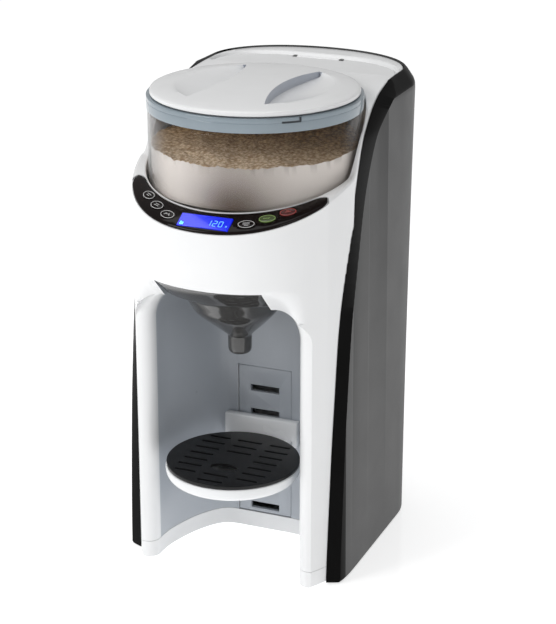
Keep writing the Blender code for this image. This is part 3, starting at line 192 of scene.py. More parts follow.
def powder_side():
    """Powder pressed against the wall: pale beige, partly a painted highlight for the wall's bright reflection,
    and a painted dark-brown reflection band, deepest low down near x = 0.016.
    """
    made = paint("powder_side", (0.86, 0.80, 0.75), rough=0.7, mottle=0.03, grain=0.15,
                 grain_scale=500, specular=0.2)
    tree = made.node_tree
    plain = tree.nodes["Principled BSDF"].inputs["Base Color"].links[0].from_socket
    where = add_node(tree, "TexCoord").outputs["Object"]
    place = add_node(tree, "SeparateXYZ", {"Vector": where}).outputs
    across = add_node(tree, "Math", {0: place["X"], 1: 0.016}, operation="SUBTRACT")
    away = add_node(tree, "Math", {0: across.outputs[0]}, operation="ABSOLUTE")
    middle = add_node(tree, "MapRange", {"From Min": 0.002, "From Max": 0.052, "To Min": 1.0,
                                         "To Max": 0.0, "Value": away.outputs[0]},
                      interpolation_type="SMOOTHSTEP")
    low = add_node(tree, "MapRange", {"From Min": 0.350, "From Max": 0.318, "To Min": 0.55,
                                      "To Max": 0.95, "Value": place["Z"]},
                   interpolation_type="SMOOTHSTEP")
    both = add_node(tree, "Math", {0: middle.outputs["Result"], 1: low.outputs["Result"]},
                    operation="MULTIPLY")
    # painted dark reflection band across the middle of the wall, stronger low down
    mix_base(tree, both.outputs[0], plain, (0.115, 0.078, 0.055, 1))
    return made


POWDER_TOP = powder_top()
POWDER_SIDE = powder_side()
BY_SLOT = {
    "white_gloss": WHITE, "charcoal": CHARCOAL, "black_gloss": BLACK, "display_blue": DISPLAY,
    "button_green": CAP_GREEN, "button_red": CAP_RED, "clear_plastic": CLEAR,
    "ring_blue_grey": RINGS, "smoke_plastic": SMOKE, "silicone": SILICONE, "grey_plastic": GREY,
    "nylon": NYLON, "brass": BRASS, "steel": STEEL, "black_satin": GRILLE, "rubber": RUBBER,
    "board_green": BOARD,
}


# ================================================================ placing pieces
def show(name, mesh, material, body, slot, replaces=None, sharp=32.0, bevel=0.0, segments=2,
         limit=35.0, shift=True):
    """Puts a mesh in the scene; sharp and limit are angles in degrees."""
    if shift:
        mesh.transform(Matrix.Translation(SHIFT))
    thing = bpy.data.objects.new(name, mesh)
    bpy.context.scene.collection.objects.link(thing)
    mesh.materials.clear()
    mesh.materials.append(material)
    mesh.shade_smooth()
    mesh.set_sharp_from_angle(angle=radians(sharp))
    thing["bevel"] = bevel
    if bevel:
        round_edges(thing, bevel, segments, limit)
    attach(thing, body)
    if replaces:
        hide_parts(replaces)
    return thing


def round_edges(thing, width, segments, limit):
    made = thing.modifiers.new("edge_round", "BEVEL")
    made.width = width
    made.segments = segments
    made.limit_method = "ANGLE"
    made.angle_limit = radians(limit)
    made.use_clamp_overlap = True
    made.harden_normals = False
    made.miter_outer = "MITER_ARC"


def second_finish(thing, material, test):
    """Another finish for faces that pass test(centre, normal), centre from the hopper axis."""
    mesh = thing.data
    mesh.materials.append(material)
    number = len(mesh.materials) - 1
    for face in mesh.polygons:
        if test(face.center - SHIFT, face.normal):
            face.material_index = number


def finish_mesh(form, name):
    bmesh.ops.recalc_face_normals(form, faces=form.faces)
    mesh = bpy.data.meshes.new(name)
    form.to_mesh(mesh)
    form.free()
    return mesh


def welded(mesh):
    """A bmesh of the mesh with its doubled vertices merged."""
    form = bmesh.new()
    form.from_mesh(mesh)
    bmesh.ops.remove_doubles(form, verts=form.verts, dist=0.000002)
    return form


def refined(node, bevel, material=None, segments=2):
    """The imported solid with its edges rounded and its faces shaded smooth."""
    form = welded(frame["nodes"][node].data)
    bmesh.ops.dissolve_limit(form, angle_limit=radians(0.4), verts=form.verts, edges=form.edges)
    name = node + "_fine"
    slot = SLOT_OF[node]
    show(name, finish_mesh(form, name), material or BY_SLOT[slot], BODY_OF[node], slot, node,
         bevel=bevel, segments=segments, limit=38.0, shift=False)


def volume_of(mesh):
    form = bmesh.new()
    form.from_mesh(mesh)
    bmesh.ops.remove_doubles(form, verts=form.verts, dist=0.0000005)
    size = abs(form.calc_volume())
    form.free()
    return size


def cut_by(thing, meshes):
    """Booleans resolved at once, so that no cutter is left in the scene."""
    for mesh in meshes:
        mesh.transform(Matrix.Translation(SHIFT))
        tool = bpy.data.objects.new("tool", mesh)
        bpy.context.scene.collection.objects.link(tool)
        before = volume_of(thing.data)
        # the next solver is used only when a result has lost too much volume or has grown
        for solver in ("EXACT", "MANIFOLD", "FLOAT"):
            made = thing.modifiers.new("cut", "BOOLEAN")
            made.operation = "DIFFERENCE"
            made.solver = solver
            made.object = tool
            graph = bpy.context.evaluated_depsgraph_get()
            graph.update()
            new = bpy.data.meshes.new_from_object(thing.evaluated_get(graph))
            thing.modifiers.remove(made)
            if before * 0.3 < volume_of(new) <= before * 1.001:
                thing.data = new
                break
        bpy.data.objects.remove(tool)


def cut_piece(name, mesh, tools, material, body, slot, replaces=None, **finish):
    """Cuts the tools out of a mesh, then shows it; finish holds show's edge settings."""
    mesh.transform(Matrix.Translation(SHIFT))
    blank = bpy.data.objects.new(name, mesh)
    bpy.context.scene.collection.objects.link(blank)
    cut_by(blank, tools)
    new = finish_mesh(welded(blank.data), name)
    bpy.data.objects.remove(blank)
    return show(name, new, material, body, slot, replaces, shift=False, **finish)


# ================================================================ solids
def bridge(form, low, high):
    count = len(low)
    for i in range(count):
        j = (i + 1) % count
        form.faces.new((low[i], low[j], high[j], high[i]))


def loft(rings, name="loft"):
    form = bmesh.new()
    rows = [[form.verts.new(point) for point in ring] for ring in rings]
    for low, high in zip(rows, rows[1:]):
        bridge(form, low, high)
    form.faces.new(rows[0][::-1])
    form.faces.new(rows[-1])
    return finish_mesh(form, name)


def prism(outline, z0, z1, name="prism"):
    return loft([[(x, y, z) for x, y in outline] for z in (z0, z1)], name)


def block(x, y, z):
    """A box between the two ends of its x, y and z spans."""
    return prism([(x[0], y[0]), (x[1], y[0]), (x[1], y[1]), (x[0], y[1])], *z, "block")


def ellipse(half_x, half_y, sides, centre=(0, 0)):
    return [(centre[0] + half_x * cos(2 * pi * i / sides),
             centre[1] + half_y * sin(2 * pi * i / sides)) for i in range(sides)]


def rod(radius, z0, z1, centre=(0, 0)):
    return prism(ellipse(radius, radius, 64, centre), z0, z1, "rod")


def lathe(profile, sides, closed=False, centre=(0, 0)):
    """A profile of (radius, z) turned about the upright axis through centre."""
    form = bmesh.new()
    kept = [(radius, z) for radius, z in profile if closed or radius > 0]
    columns = []
    for i in range(sides):
        angle = 2 * pi * i / sides
        columns.append([form.verts.new((centre[0] + radius * cos(angle),
                                        centre[1] + radius * sin(angle), z))
                        for radius, z in kept])
    count = len(kept)
    for i in range(sides):
        here, after = columns[i], columns[(i + 1) % sides]
        for k in range(count if closed else count - 1):
            m = (k + 1) % count
            form.faces.new((here[k], here[m], after[m], after[k]))
    if not closed:
        for z, k in ((profile[0][1], 0), (profile[-1][1], count - 1)):
            pole = form.verts.new((centre[0], centre[1], z))
            for i in range(sides):
                form.faces.new((columns[i][k], columns[(i + 1) % sides][k], pole))
    return finish_mesh(form, "lathe")


def joined(meshes, name):
    form = bmesh.new()
    for mesh in meshes:
        form.from_mesh(mesh)
    return finish_mesh(form, name)


def moved(mesh, matrix):
    mesh.transform(matrix)
    return mesh


# ================================================================ lines
def lerp(start, end, share):
    return start + (end - start) * share


def lerp_point(start, end, share):
    return lerp(start[0], end[0], share), lerp(start[1], end[1], share)


def rounded(profile, radius, steps, closed=False):
    """A profile with its corners rounded."""
    out = []
    count = len(profile)
    for i, at in enumerate(profile):
        if not closed and i in (0, count - 1):
            out.append(at)
            continue
        corner = Vector(at)
        back = Vector(profile[i - 1]) - corner
        ahead = Vector(profile[(i + 1) % count]) - corner
        reach = min(radius, back.length * 0.45, ahead.length * 0.45)
        start = corner + back.normalized() * reach
        end = corner + ahead.normalized() * reach
        for k in range(steps + 1):
            t = k / steps
            point = (1 - t) ** 2 * start + 2 * t * (1 - t) * corner + t * t * end
            out.append((point.x, point.y))
    return out


def smooth_line(points, per):
    """A Catmull-Rom curve through points of any dimension, per steps to each span."""
    knots = [Vector(point) for point in points]
    out = []
    for i in range(len(knots) - 1):
        before, start, end = knots[max(0, i - 1)], knots[i], knots[i + 1]
        after = knots[min(len(knots) - 1, i + 2)]
        for k in range(per):
            t = k / per
            out.append(0.5 * (2 * start + (end - before) * t
                              + (2 * before - 5 * start + 4 * end - after) * t * t
                              + (3 * start - before - 3 * end + after) * t ** 3))
    out.append(knots[-1])
    return [tuple(point) for point in out]


def mirrored(half):
    return half + [(-x, y) for x, y in reversed(half) if abs(x) > 1e-6]


def offset(points, amount):
    """The line moved to its left; ends at x = 0 stay there."""
    out = []
    for i, (x, y) in enumerate(points):
        before_x, before_y = points[max(0, i - 1)]
        after_x, after_y = points[min(len(points) - 1, i + 1)]
        dx, dy = after_x - before_x, after_y - before_y
        size = hypot(dx, dy)
        out.append((x - dy / size * amount, y + dx / size * amount))
    if abs(points[0][0]) < 1e-6:
        out[0] = (0.0, points[0][1] + amount)
    if abs(points[-1][0]) < 1e-6:
        out[-1] = (0.0, points[-1][1] - amount)
    return out


def resampled(points, count):
    """Points spaced evenly along the line."""
    lengths = [0.0]
    for here, after in zip(points, points[1:]):
        lengths.append(lengths[-1] + hypot(after[0] - here[0], after[1] - here[1]))
    out = []
    k = 0
    for i in range(count):
        want = lengths[-1] * i / (count - 1)
        while k < len(points) - 2 and want > lengths[k + 1]:
            k += 1
        share = min(1.0, (want - lengths[k]) / (lengths[k + 1] - lengths[k]))
        out.append(lerp_point(points[k], points[k + 1], share))
    return out


def trimmed(points, y_end, rear=False):
    """The part of the line in front of y_end, or behind it."""
    out = []
    for here, after in zip(points, points[1:]):
        if (here[1] <= y_end) != rear:
            out.append(here)
        if (here[1] - y_end) * (after[1] - y_end) < 0:
            share = (y_end - here[1]) / (after[1] - here[1])
            out.append((lerp(here[0], after[0], share), y_end))
    if (points[-1][1] <= y_end) != rear:
        out.append(points[-1])
    return out


# ================================================================ sizes shared with the frame
# the head's front is a superellipse: half width, reach to the front, exponent
HEAD_HALF, HEAD_REACH, HEAD_POWER = 0.0925, 0.1072, 2.2
SEAM_Z = 0.0151              # top of the base ring
DECK_Z = 0.3895
GAP = 0.0004                 # clearance between neighbouring pieces
COLLAR_R = 0.0868            # round opening for the hopper
COLLAR_Z, COLLAR_SLOPE = 0.337, 0.232     # height at y = 0 and rise per metre of y
PANEL_Z, PANEL_SLOPE = 0.3413, 0.3267     # the same at the head's outline
HOPPER_WELL_Z = 0.2910
# covers: (at the floor, at the deck)
COVER_HALF = (0.0965, 0.0935)
COVER_REAR = (0.1600, 0.1734)
COVER_DEPTH = (0.0748, 0.0668)            # length of the curved rear part
REAR_POWER = 2.12
REAR_HALF, REAR_DEPTH = 0.0832, 0.0600    # curved rear part of the white body
REAR_SKIN = 0.0070                        # from the body's rear to the cover's
SPLIT_Y = 0.1300                          # joint of the side and rear covers
BAY_TOP, NOTCH_HALF, NOTCH_TOP = 0.2392, 0.0450, 0.2578
STAND_Y = -0.0484
RECESS_Z, CHUTE_Y = 0.3800, -0.0500
# side of the white body: y, x
SIDE_LINE = [(-0.0220, 0.0908), (-0.0120, 0.0905), (0.0, 0.0896), (0.011, 0.0886),
             (0.034, 0.0866), (0.052, 0.0852), (0.078, 0.0841), (0.088, 0.0836)]
# height of the body's top seen from the side: y, z
TOP_PROFILE = smooth_line([
    (-0.040, 0.3095), (-0.030, 0.3180), (-0.0225, 0.3250), (-0.013, 0.3385), (-0.001, 0.3565),
    (0.011, 0.3665), (0.028, 0.3775), (0.045, 0.3840), (0.062, 0.3875), (0.085, 0.3892),
    (0.100, 0.3895), (0.200, 0.3895)], 8)


def cover_rear(z):
    return COVER_REAR[0] + (COVER_REAR[1] - COVER_REAR[0]) * z / DECK_Z


def rear_arc(half, start, rear, steps=36):
    points = []
    for i in range(1, steps + 1):
        angle = pi / 2 * i / steps
        points.append((half * cos(angle) ** (2 / REAR_POWER) if i < steps else 0.0,
                       start + (rear - start) * sin(angle) ** (2 / REAR_POWER)))
    return points


def body_half(inset, z, steps=56):
    """Right half of the body's outline, from the front round to the rear."""
    rear = cover_rear(z) - REAR_SKIN
    points = []
    for i in range(steps + 1):
        angle = (i / steps) * radians(80.5)
        points.append((HEAD_HALF * sin(angle) ** (2 / HEAD_POWER),
                       -HEAD_REACH * cos(angle) ** (2 / HEAD_POWER)))
    start = rear - REAR_DEPTH
    points += [(x, y) for y, x in smooth_line(SIDE_LINE, 4)
               if points[-1][1] + 0.001 < y < start - 0.002]
    points += rear_arc(REAR_HALF, start, rear)
    return offset(points, inset) if inset else points


def cover_half(z):
    """Right half of the covers' outline."""
    share = z / DECK_Z
    half = lerp(*COVER_HALF, share)
    rear = cover_rear(z)
    start = rear - lerp(*COVER_DEPTH, share)
    points = smooth_line([(half - 0.0118, -0.0560), (half - 0.0075, -0.0555),
                          (half - 0.0040, -0.0520), (half - 0.0018, -0.0460),
                          (half - 0.0005, -0.0360), (half, -0.0220), (half, 0.0200),
                          (half, 0.0600)], 5)
    return points + rear_arc(half, start, rear, 44)


def head_front(x, inset):
    half, reach = HEAD_HALF - inset, HEAD_REACH - inset
    return -reach * (1 - (x / half) ** HEAD_POWER) ** (1 / HEAD_POWER)


def head_radius(angle):
    """Distance from the hopper axis to the head's outline; angle is from the front."""
    across, along = abs(sin(angle)), abs(cos(angle))
    return ((across / HEAD_HALF) ** HEAD_POWER
            + (along / HEAD_REACH) ** HEAD_POWER) ** (-1 / HEAD_POWER)


def panel_z(y):
    return PANEL_Z + PANEL_SLOPE * y


def collar_z(y):
    return COLLAR_Z + COLLAR_SLOPE * y


def profile_z(y):
    for (y0, z0), (y1, z1) in zip(TOP_PROFILE, TOP_PROFILE[1:]):
        if y <= y1:
            return z0 + (z1 - z0) * max(0.0, (y - y0) / (y1 - y0))
    return TOP_PROFILE[-1][1]


def top_height(y, slope):
    """Height of the body's top, where slope is the height of the sloping front."""
    high = profile_z(y) if y > TOP_PROFILE[0][0] else 0.0
    if y > 0.06:
        return high
    # the slope and the shoulder meet in a soft hollow
    rise = high - slope
    soft = 0.0035
    if rise > soft:
        return high
    if rise < -soft:
        return slope
    return slope + (rise + soft) ** 2 / (4 * soft)


# ================================================================ white body
TOP_EDGE, COLLAR_LIP = 0.0020, 0.0012     # rounding of the top's outer and inner edges


def top_share(kind, value, width):
    """Share of the way from the outline to the collar."""
    if kind == "edge":
        return value / width
    if kind == "share":
        return max(value, 1.15 * TOP_EDGE / width)
    return 1 - value / width


def body_mesh():
    low = mirrored(body_half(0.0, SEAM_Z))
    outline = mirrored(body_half(0.0, DECK_Z))
    collar = [(x / hypot(x, y) * COLLAR_R, y / hypot(x, y) * COLLAR_R) for x, y in outline]
    rings = [[(x, y, SEAM_Z + GAP) for x, y in low]]
    rows = []                             # kind, distance or share, change of height
    for k in range(6):
        angle = pi / 2 * k / 5
        rows.append(("edge", TOP_EDGE * (1 - cos(angle)), -TOP_EDGE * (1 - sin(angle))))
    for share in (0.12, 0.22, 0.34, 0.46, 0.58, 0.70, 0.82, 0.91):
        rows.append(("share", share, 0.0))
    for k in range(5):
        angle = pi / 2 * k / 4
        rows.append(("lip", COLLAR_LIP * (1 - sin(angle)), -COLLAR_LIP * (1 - cos(angle))))
    for kind, value, drop in rows:
        ring = []
        for far, near in zip(outline, collar):
            width = hypot(far[0] - near[0], far[1] - near[1])
            share = min(1.0, top_share(kind, value, width))
            x, y = lerp_point(far, near, share)
            high = top_height(y, panel_z(y)) * (1 - share) + top_height(y, collar_z(y)) * share
            ring.append((x, y, high + drop))
        rings.append(ring)
    rings.append([(x, y, HOPPER_WELL_Z + 0.001) for x, y in collar])
    rings.append([(x * 0.99, y * 0.99, HOPPER_WELL_Z) for x, y in collar])
    return loft(rings, "body")


# bottle bay in plan: half width of the mouth, rounded pillar front, then the wall (x, y)
BAY_MOUTH = 0.0757
PILLAR_CENTRE, PILLAR_R = (0.0723, -0.0585), 0.0093
BAY_WALL = [(0.0630, -0.0585), (0.0622, -0.041), (0.0582, -0.024), (0.0530, -0.009),
            (0.0462, 0.004), (0.0405, 0.0115), (0.0340, 0.0164), (0.0265, 0.0180)]
BAY_ARCH_Z, BAY_ARCH_TUCK = 0.2120, 0.40  # where the arched roof starts; narrowing at its top


def bay_half():
    points = [(BAY_MOUTH, -0.140), (BAY_MOUTH, -0.0672)]
    for k in range(15):
        angle = radians(270 - 90 * k / 14)
        points.append((PILLAR_CENTRE[0] + PILLAR_R * cos(angle),
                       PILLAR_CENTRE[1] + PILLAR_R * sin(angle)))
    return points + smooth_line(BAY_WALL, 6)[1:] + [(0.0, BAY_WALL[-1][1])]


def bay_tool():
    outline = mirrored(bay_half())
    rings = [[(x, y, -0.01) for x, y in outline]]
    for k in range(15):
        angle = pi / 2 * k / 14
        share = 1 - BAY_ARCH_TUCK * (1 - cos(angle))
        z = BAY_ARCH_Z + (BAY_TOP - BAY_ARCH_Z) * sin(angle)
        rings.append([(x * share, y, z) for x, y in outline])
    return loft(rings, "bay")


# z, depth cut back from the head's front
SOFFIT = smooth_line([(0.2300, 0.0300), (0.2400, 0.0196), (0.2500, 0.0092), (0.2545, 0.0046),
                      (0.2578, 0.0016), (0.2625, -0.0008)], 4)
SOFFIT_HALF, SOFFIT_FULL = 0.0735, 0.0470  # half widths of the whole cut and its full depth


def soffit_tool():
    """The head's front rolls in under its lower edge and fades out into the pillars."""
    rings = []
    for z, depth in SOFFIT:
        ring = []
        for i in range(-40, 41):
            x = SOFFIT_HALF * i / 40
            share = min(1.0, max(0.0, (SOFFIT_HALF - abs(x)) / (SOFFIT_HALF - SOFFIT_FULL)))
            fade = share * share * (3 - 2 * share)
            ring.append((x, head_front(abs(x), 0.0) + depth * fade - 0.0004 * (1 - fade), z))
        ring += [(SOFFIT_HALF, -0.1400, z), (-SOFFIT_HALF, -0.1400, z)]
        rings.append(ring)
    return loft(rings, "soffit")


# tank lid and tank opening in plan, right halves: x, y
LID_PLAN = [(0.0, 0.0905), (0.0790, 0.0905)] + smooth_line([
    (0.0800, 0.0915), (0.0802, 0.1000), (0.0786, 0.1080), (0.0740, 0.1170), (0.0660, 0.1252),
    (0.0540, 0.1325), (0.0380, 0.1374), (0.0200, 0.1394), (0.0, 0.1398)], 6)
WELL_PLAN = [(0.0, 0.0975), (0.0590, 0.0975), (0.0590, 0.1165), (0.0530, 0.1255),
             (0.0420, 0.1315), (0.0250, 0.1345), (0.0, 0.1355)]
# slope round the tank's lid: amount of widening, z
DECK_ROWS = [(-0.05, 0.3850), (0.08, 0.3856), (0.22, 0.3862), (0.45, 0.3871), (0.72, 0.3882),
             (0.93, 0.3889), (1.10, 0.3893), (1.30, 0.38955), (1.31, 0.4000)]
DECK_WIDEN, DECK_BACK = 0.018, 0.0058     # at amount 1: share of x, distance at the rear


def deck_tool():
    """The slope round the tank's lid, down from the deck's rim."""
    return loft([[(x * (1 + DECK_WIDEN * amount),
                   y + DECK_BACK * amount * max(0.0, (y - 0.0915) / 0.0483), z)
                  for x, y in mirrored(LID_PLAN)] for amount, z in DECK_ROWS], "deck")


def panel_height(x, y):
    far = head_radius(atan2(x, -y))
    share = min(1.0, max(0.0, (far - hypot(x, y)) / (far - COLLAR_R)))
    return panel_z(y) * (1 - share) + collar_z(y) * share


# half angle spanned by the control panel, and where its rounded ends start
PANEL_TIP, PANEL_ROUND = radians(58.7), radians(53.0)


def crescent(inner_gap, outer_gap, low, high, tip=PANEL_TIP, steps=150, over=0.0, roll=0.0):
    """The control panel's crescent, between two levels about the sloping front.

    over carries it past the outline; roll rounds its upper edges.
    """
    rings = []
    for i in range(steps + 1):
        angle = -tip + 2 * tip * (0.5 - 0.5 * cos(pi * i / steps))
        past = (abs(angle) - PANEL_ROUND) / (tip - PANEL_ROUND)
        share = 1.0 if abs(angle) < PANEL_ROUND else sqrt(max(0.0, 1 - past ** 2))
        share = max(share, 0.03)
        near, far = COLLAR_R + inner_gap, head_radius(angle) - outer_gap
        middle = (near + far) / 2
        near = middle + (near - middle) * share
        far = middle + (far - middle) * share
        beyond = far + over * max(0.0, share * 2 - 1)
        across, along = sin(angle), -cos(angle)
        near_z = panel_height(near * across, near * along)
        far_z = panel_height(far * across, far * along)
        slope = (far_z - near_z) / max(1e-6, far - near)
        section = [(near, low), (beyond, low)]          # radius, lift
        if roll:
            edge = min(roll, (far - near) * 0.3)
            section += [(far, high - edge), (far - edge * 0.3, high - edge * 0.3),
                        (far - edge, high), (near + edge, high),
                        (near + edge * 0.3, high - edge * 0.3), (near, high - edge)]
        else:
            section += [(beyond, high), (near, high)]
        rings.append([(radius * across, radius * along, near_z + slope * (radius - near) + lift)
                      for radius, lift in section])
    return loft(rings, "crescent")


def surface_frame(x, y):
    """Local axes on the panel's surface: x round the hopper axis, z outward."""
    step = 0.0005
    rise_x = (panel_height(x + step, y) - panel_height(x - step, y)) / (2 * step)
    rise_y = (panel_height(x, y + step) - panel_height(x, y - step)) / (2 * step)
    normal = Vector((-rise_x, -rise_y, 1)).normalized()
    along = Vector((-y, x, 0)).normalized()
    along = (along - normal * along.dot(normal)).normalized()
    turn = Matrix((along, normal.cross(along), normal)).transposed().to_4x4()
    return Matrix.Translation((x, y, panel_height(x, y))) @ turn


def rear_openings():
    """Two rectangular openings low in the rear."""
    return [block(x=(-0.0230, 0.0040), y=(0.1440, 0.1700), z=(0.0285, 0.0495)),
            block(x=(0.0080, 0.0210), y=(0.1440, 0.1700), z=(0.0305, 0.0475))]


body_tools = [
    soffit_tool(),
    bay_tool(),
    # notch for the funnel
    block(x=(-NOTCH_HALF, NOTCH_HALF), y=(-0.1350, 0.0060), z=(0.2200, NOTCH_TOP)),
    prism(mirrored(LID_PLAN), RECESS_Z, 0.42),
    deck_tool(),
    prism(mirrored(WELL_PLAN), 0.0600, 0.41),
    # hollow behind the bay
    block(x=(-0.0740, 0.0740), y=(0.0225, 0.0930), z=(-0.01, 0.2560)),
    # holes on the hopper axis and at the powder chute
    rod(0.0125, 0.2700, 0.3000),
    rod(0.0150, 0.2450, 0.3000, centre=(0.0, CHUTE_Y)),
    # opening through the bay's back wall
    block(x=(-0.0242, 0.0242), y=(0.0100, 0.0300), z=(-0.01, 0.1500)),
    crescent(inner_gap=0.0012, outer_gap=0.0, low=-0.0022, high=0.0080,
             tip=PANEL_TIP + radians(0.5), steps=34, over=0.0060),
    *rear_openings(),
]
shell = cut_piece("body_shell", body_mesh(), body_tools, WHITE, "body", "white_gloss",
                  "front_shell", sharp=30)


def in_bay(centre, normal):
    """Inside the bottle bay, back from the rounded front edges of the pillars."""
    return (centre.z < 0.2396 and -0.0575 < centre.y < 0.0190 and abs(centre.x) < 0.0640
            and (normal.y < 0.05 or normal.z < -0.3 or abs(normal.x) > 0.6))


# the bay's inner faces take the painted shade
second_finish(shell, BAY_PAINTED_SHADE, in_bay)

# z, inset
BASE_ROWS = [(0.0012, 0.0012), (0.0018, 0.0004), (0.0028, 0.0), (SEAM_Z, 0.0)]
base = loft([[(x, y, z) for x, y in mirrored(body_half(inset, z))] for z, inset in BASE_ROWS],
            "base")
base_hollow = block(x=(-0.0620, 0.0620), y=(0.0260, 0.1300), z=(-0.01, 0.0300))
cut_piece("base_ring", base, [bay_tool(), base_hollow], WHITE, "body", "white_gloss",
          "base_frame", sharp=30)
# the bay's back panel takes the painted shade too
refined("bay_back_panel", 0.0003, material=BAY_PAINTED_SHADE)

# ================================================================ covers
# edge line of the side covers: x, y, z next to the body, then x, y, z at the outside
SHOULDER = [
    (0.0840, -0.0530, -0.010, 0.0965, -0.0470, -0.010),
    (0.0840, -0.0520, 0.030, 0.0963, -0.0465, 0.030),
    (0.0857, -0.0480, 0.115, 0.0955, -0.0415, 0.115),
    (0.0868, -0.0450, 0.160, 0.0950, -0.0375, 0.160),
    (0.0875, -0.0415, 0.210, 0.0945, -0.0320, 0.210),
    (0.0885, -0.0370, 0.246, 0.0942, -0.0255, 0.243),
    (0.0900, -0.0290, 0.290, 0.0942, -0.0130, 0.287),
    (0.0904, -0.0220, 0.317, 0.0942, -0.0020, 0.316),
    (0.0902, -0.0130, 0.339, 0.0942, 0.0110, 0.338),
    (0.0895, -0.0010, 0.357, 0.0942, 0.0250, 0.356),
    (0.0885, 0.0110, 0.367, 0.0942, 0.0360, 0.364),
    (0.0870, 0.0280, 0.378, 0.0942, 0.0500, 0.371),
    (0.0855, 0.0450, 0.3845, 0.0942, 0.0620, 0.376),
    (0.0845, 0.0620, 0.3885, 0.0942, 0.0780, 0.381),
    (0.0835, 0.0850, 0.3940, 0.0942, 0.0960, 0.387),
    (0.0830, 0.1200, 0.4020, 0.0942, 0.1250, 0.396),
    (0.0830, 0.2000, 0.4100, 0.0942, 0.2000, 0.405),
]
CHAMFER_Z = 0.3780
# z, share drawn in towards the body, tuck of a side cover's outer face
COVER_ROWS = [
    (0.0008, 0.0, 0.0010), (0.0022, 0.0, 0.0), (CHAMFER_Z - 0.004, 0.0, 0.0),
    (CHAMFER_Z, 0.03, 0.0), (CHAMFER_Z + 0.003, 0.14, 0.0), (0.3850, 0.42, 0.0),
    (0.3882, 0.66, 0.0), (0.3900, 0.84, 0.0), (0.3905, 0.93, 0.0)]
COVER_FRONT_Y = -0.0545
COVER_LAP = 0.0030           # how far the blank reaches into the body before it is cut


def shoulder_tool(side):
    """Everything in front of and above the shoulder line, over one cover's thickness."""
    rings = []
    # None stands for the line next to the body itself
    for plane_x in (0.0780, None, 0.0990):
        ring = []
        for near_x, near_y, near_z, far_x, far_y, far_z in smooth_line(SHOULDER, 6):
            share = max(-0.4, (plane_x - near_x) / (far_x - near_x)) if plane_x else 0.0
            ring.append((side * (plane_x or near_x), lerp(near_y, far_y, share),
                         lerp(near_z, far_z, share)))
        x = side * (plane_x or 0.0870)
        ring += [(x, 0.2000, 0.4600), (x, -0.2000, 0.4600), (x, -0.2000, -0.0100)]
        rings.append(ring)
    return loft(rings, "shoulder")


def cover_lines(z, share, count, rear=False):
    """Outer and inner lines of a cover's right half, from front to rear."""
    split = SPLIT_Y + (GAP if rear else 0)

    def span(points):
        return resampled(trimmed(points, split, rear), count)

    def body_line(inset):
        return span([point for point in body_half(inset, z) if point[1] > COVER_FRONT_Y])

    outer = [lerp_point(far, near, share)
             for far, near in zip(span(cover_half(min(z, CHAMFER_Z))), body_line(-GAP))]
    return outer, body_line(COVER_LAP)


def side_cover(side):
    rings = []
    for z, share, tuck in COVER_ROWS:
        outer, inner = cover_lines(z, share, 110)
        outer = [(x - tuck, y) for x, y in outer]
        rings.append([(side * x, y, z) for x, y in outer + inner[::-1]])
    return loft(rings, "cover")


def rear_cover():
    rings = []
    for z, share, _ in COVER_ROWS:
        outer, inner = cover_lines(z, share, 60, rear=True)
        rings.append([(x, y, z) for x, y in mirrored(outer) + mirrored(inner)[::-1]])
    return loft(rings, "rear")


def body_space():
    """The body's outline with its clearance, taller than the machine."""
    return loft([[(x, y, z) for x, y in mirrored(body_half(-GAP, z))] for z in (-0.02, 0.45)],
                "space")


# Faces turned up, forward or not fully sideways: these take the painted dark reflection.
def faces_off_side(centre, normal):
    return normal.z > 0.12 or normal.y < -0.12 or abs(normal.x) < 0.5


for side, node in ((1, "side_cover_right"), (-1, "side_cover_left")):
    cover = cut_piece(node + "_fine", side_cover(side), [shoulder_tool(side), body_space()],
                      CHARCOAL, "body", "charcoal", node, sharp=28, bevel=0.0006, segments=3,
                      limit=28)
    # painted dark reflection on the cover's front and top faces
    second_finish(cover, BAND_PAINTED_REFLECTION, faces_off_side)

rear_recess = block(x=(-0.0280, 0.0280), y=(0.1556, 0.1800), z=(0.0240, 0.0540))
cover = cut_piece("rear_cover_fine", rear_cover(), [body_space(), rear_recess, *rear_openings()],
                  CHARCOAL, "body", "charcoal", "rear_cover", sharp=28, bevel=0.0004, limit=28)
# painted dark reflection on the rear cover's upward faces
second_finish(cover, BAND_PAINTED_REFLECTION, lambda centre, normal: normal.z > 0.12)

# ================================================================ control panel
# x, y
BUTTONS = {
    "button_left_outer": (-0.0581, -0.0740), "button_left_middle": (-0.0458, -0.0852),
    "button_left_inner": (-0.0326, -0.0945), "button_right_inner": (0.0326, -0.0945),
    "button_right_middle": (0.0458, -0.0852), "button_right_outer": (0.0581, -0.0740),
}
BUTTON_LONG, BUTTON_SHORT = 0.0065, 0.0040              # half lengths of the oval
CAP_BASE, CAP_EDGE, CAP_CROWN = -0.0030, 0.0003, 0.0004
RIM_WIDTH, RIM_Z, RIM_HEIGHT = 0.00042, 0.0002, 0.00022
SCREEN_HALF, SCREEN_FRONT, SCREEN_BACK = 0.0210, -0.0062, 0.0070
screen = surface_frame(0.0, -0.0985)

button_holes = [moved(prism(ellipse(BUTTON_LONG + GAP, BUTTON_SHORT + GAP, 48), -0.006, 0.006,
                            "oval"), surface_frame(x, y)) for x, y in BUTTONS.values()]
screen_hole = moved(block(x=(-SCREEN_HALF - GAP, SCREEN_HALF + GAP),
                          y=(SCREEN_FRONT - GAP, SCREEN_BACK + GAP), z=(-0.006, 0.006)), screen)
cut_piece("control_panel_fine",
          crescent(inner_gap=0.0016, outer_gap=0.0004, low=-0.0018, high=0.0, roll=0.0010),
          button_holes + [screen_hole], BLACK, "body", "black_gloss", "control_panel", sharp=40)


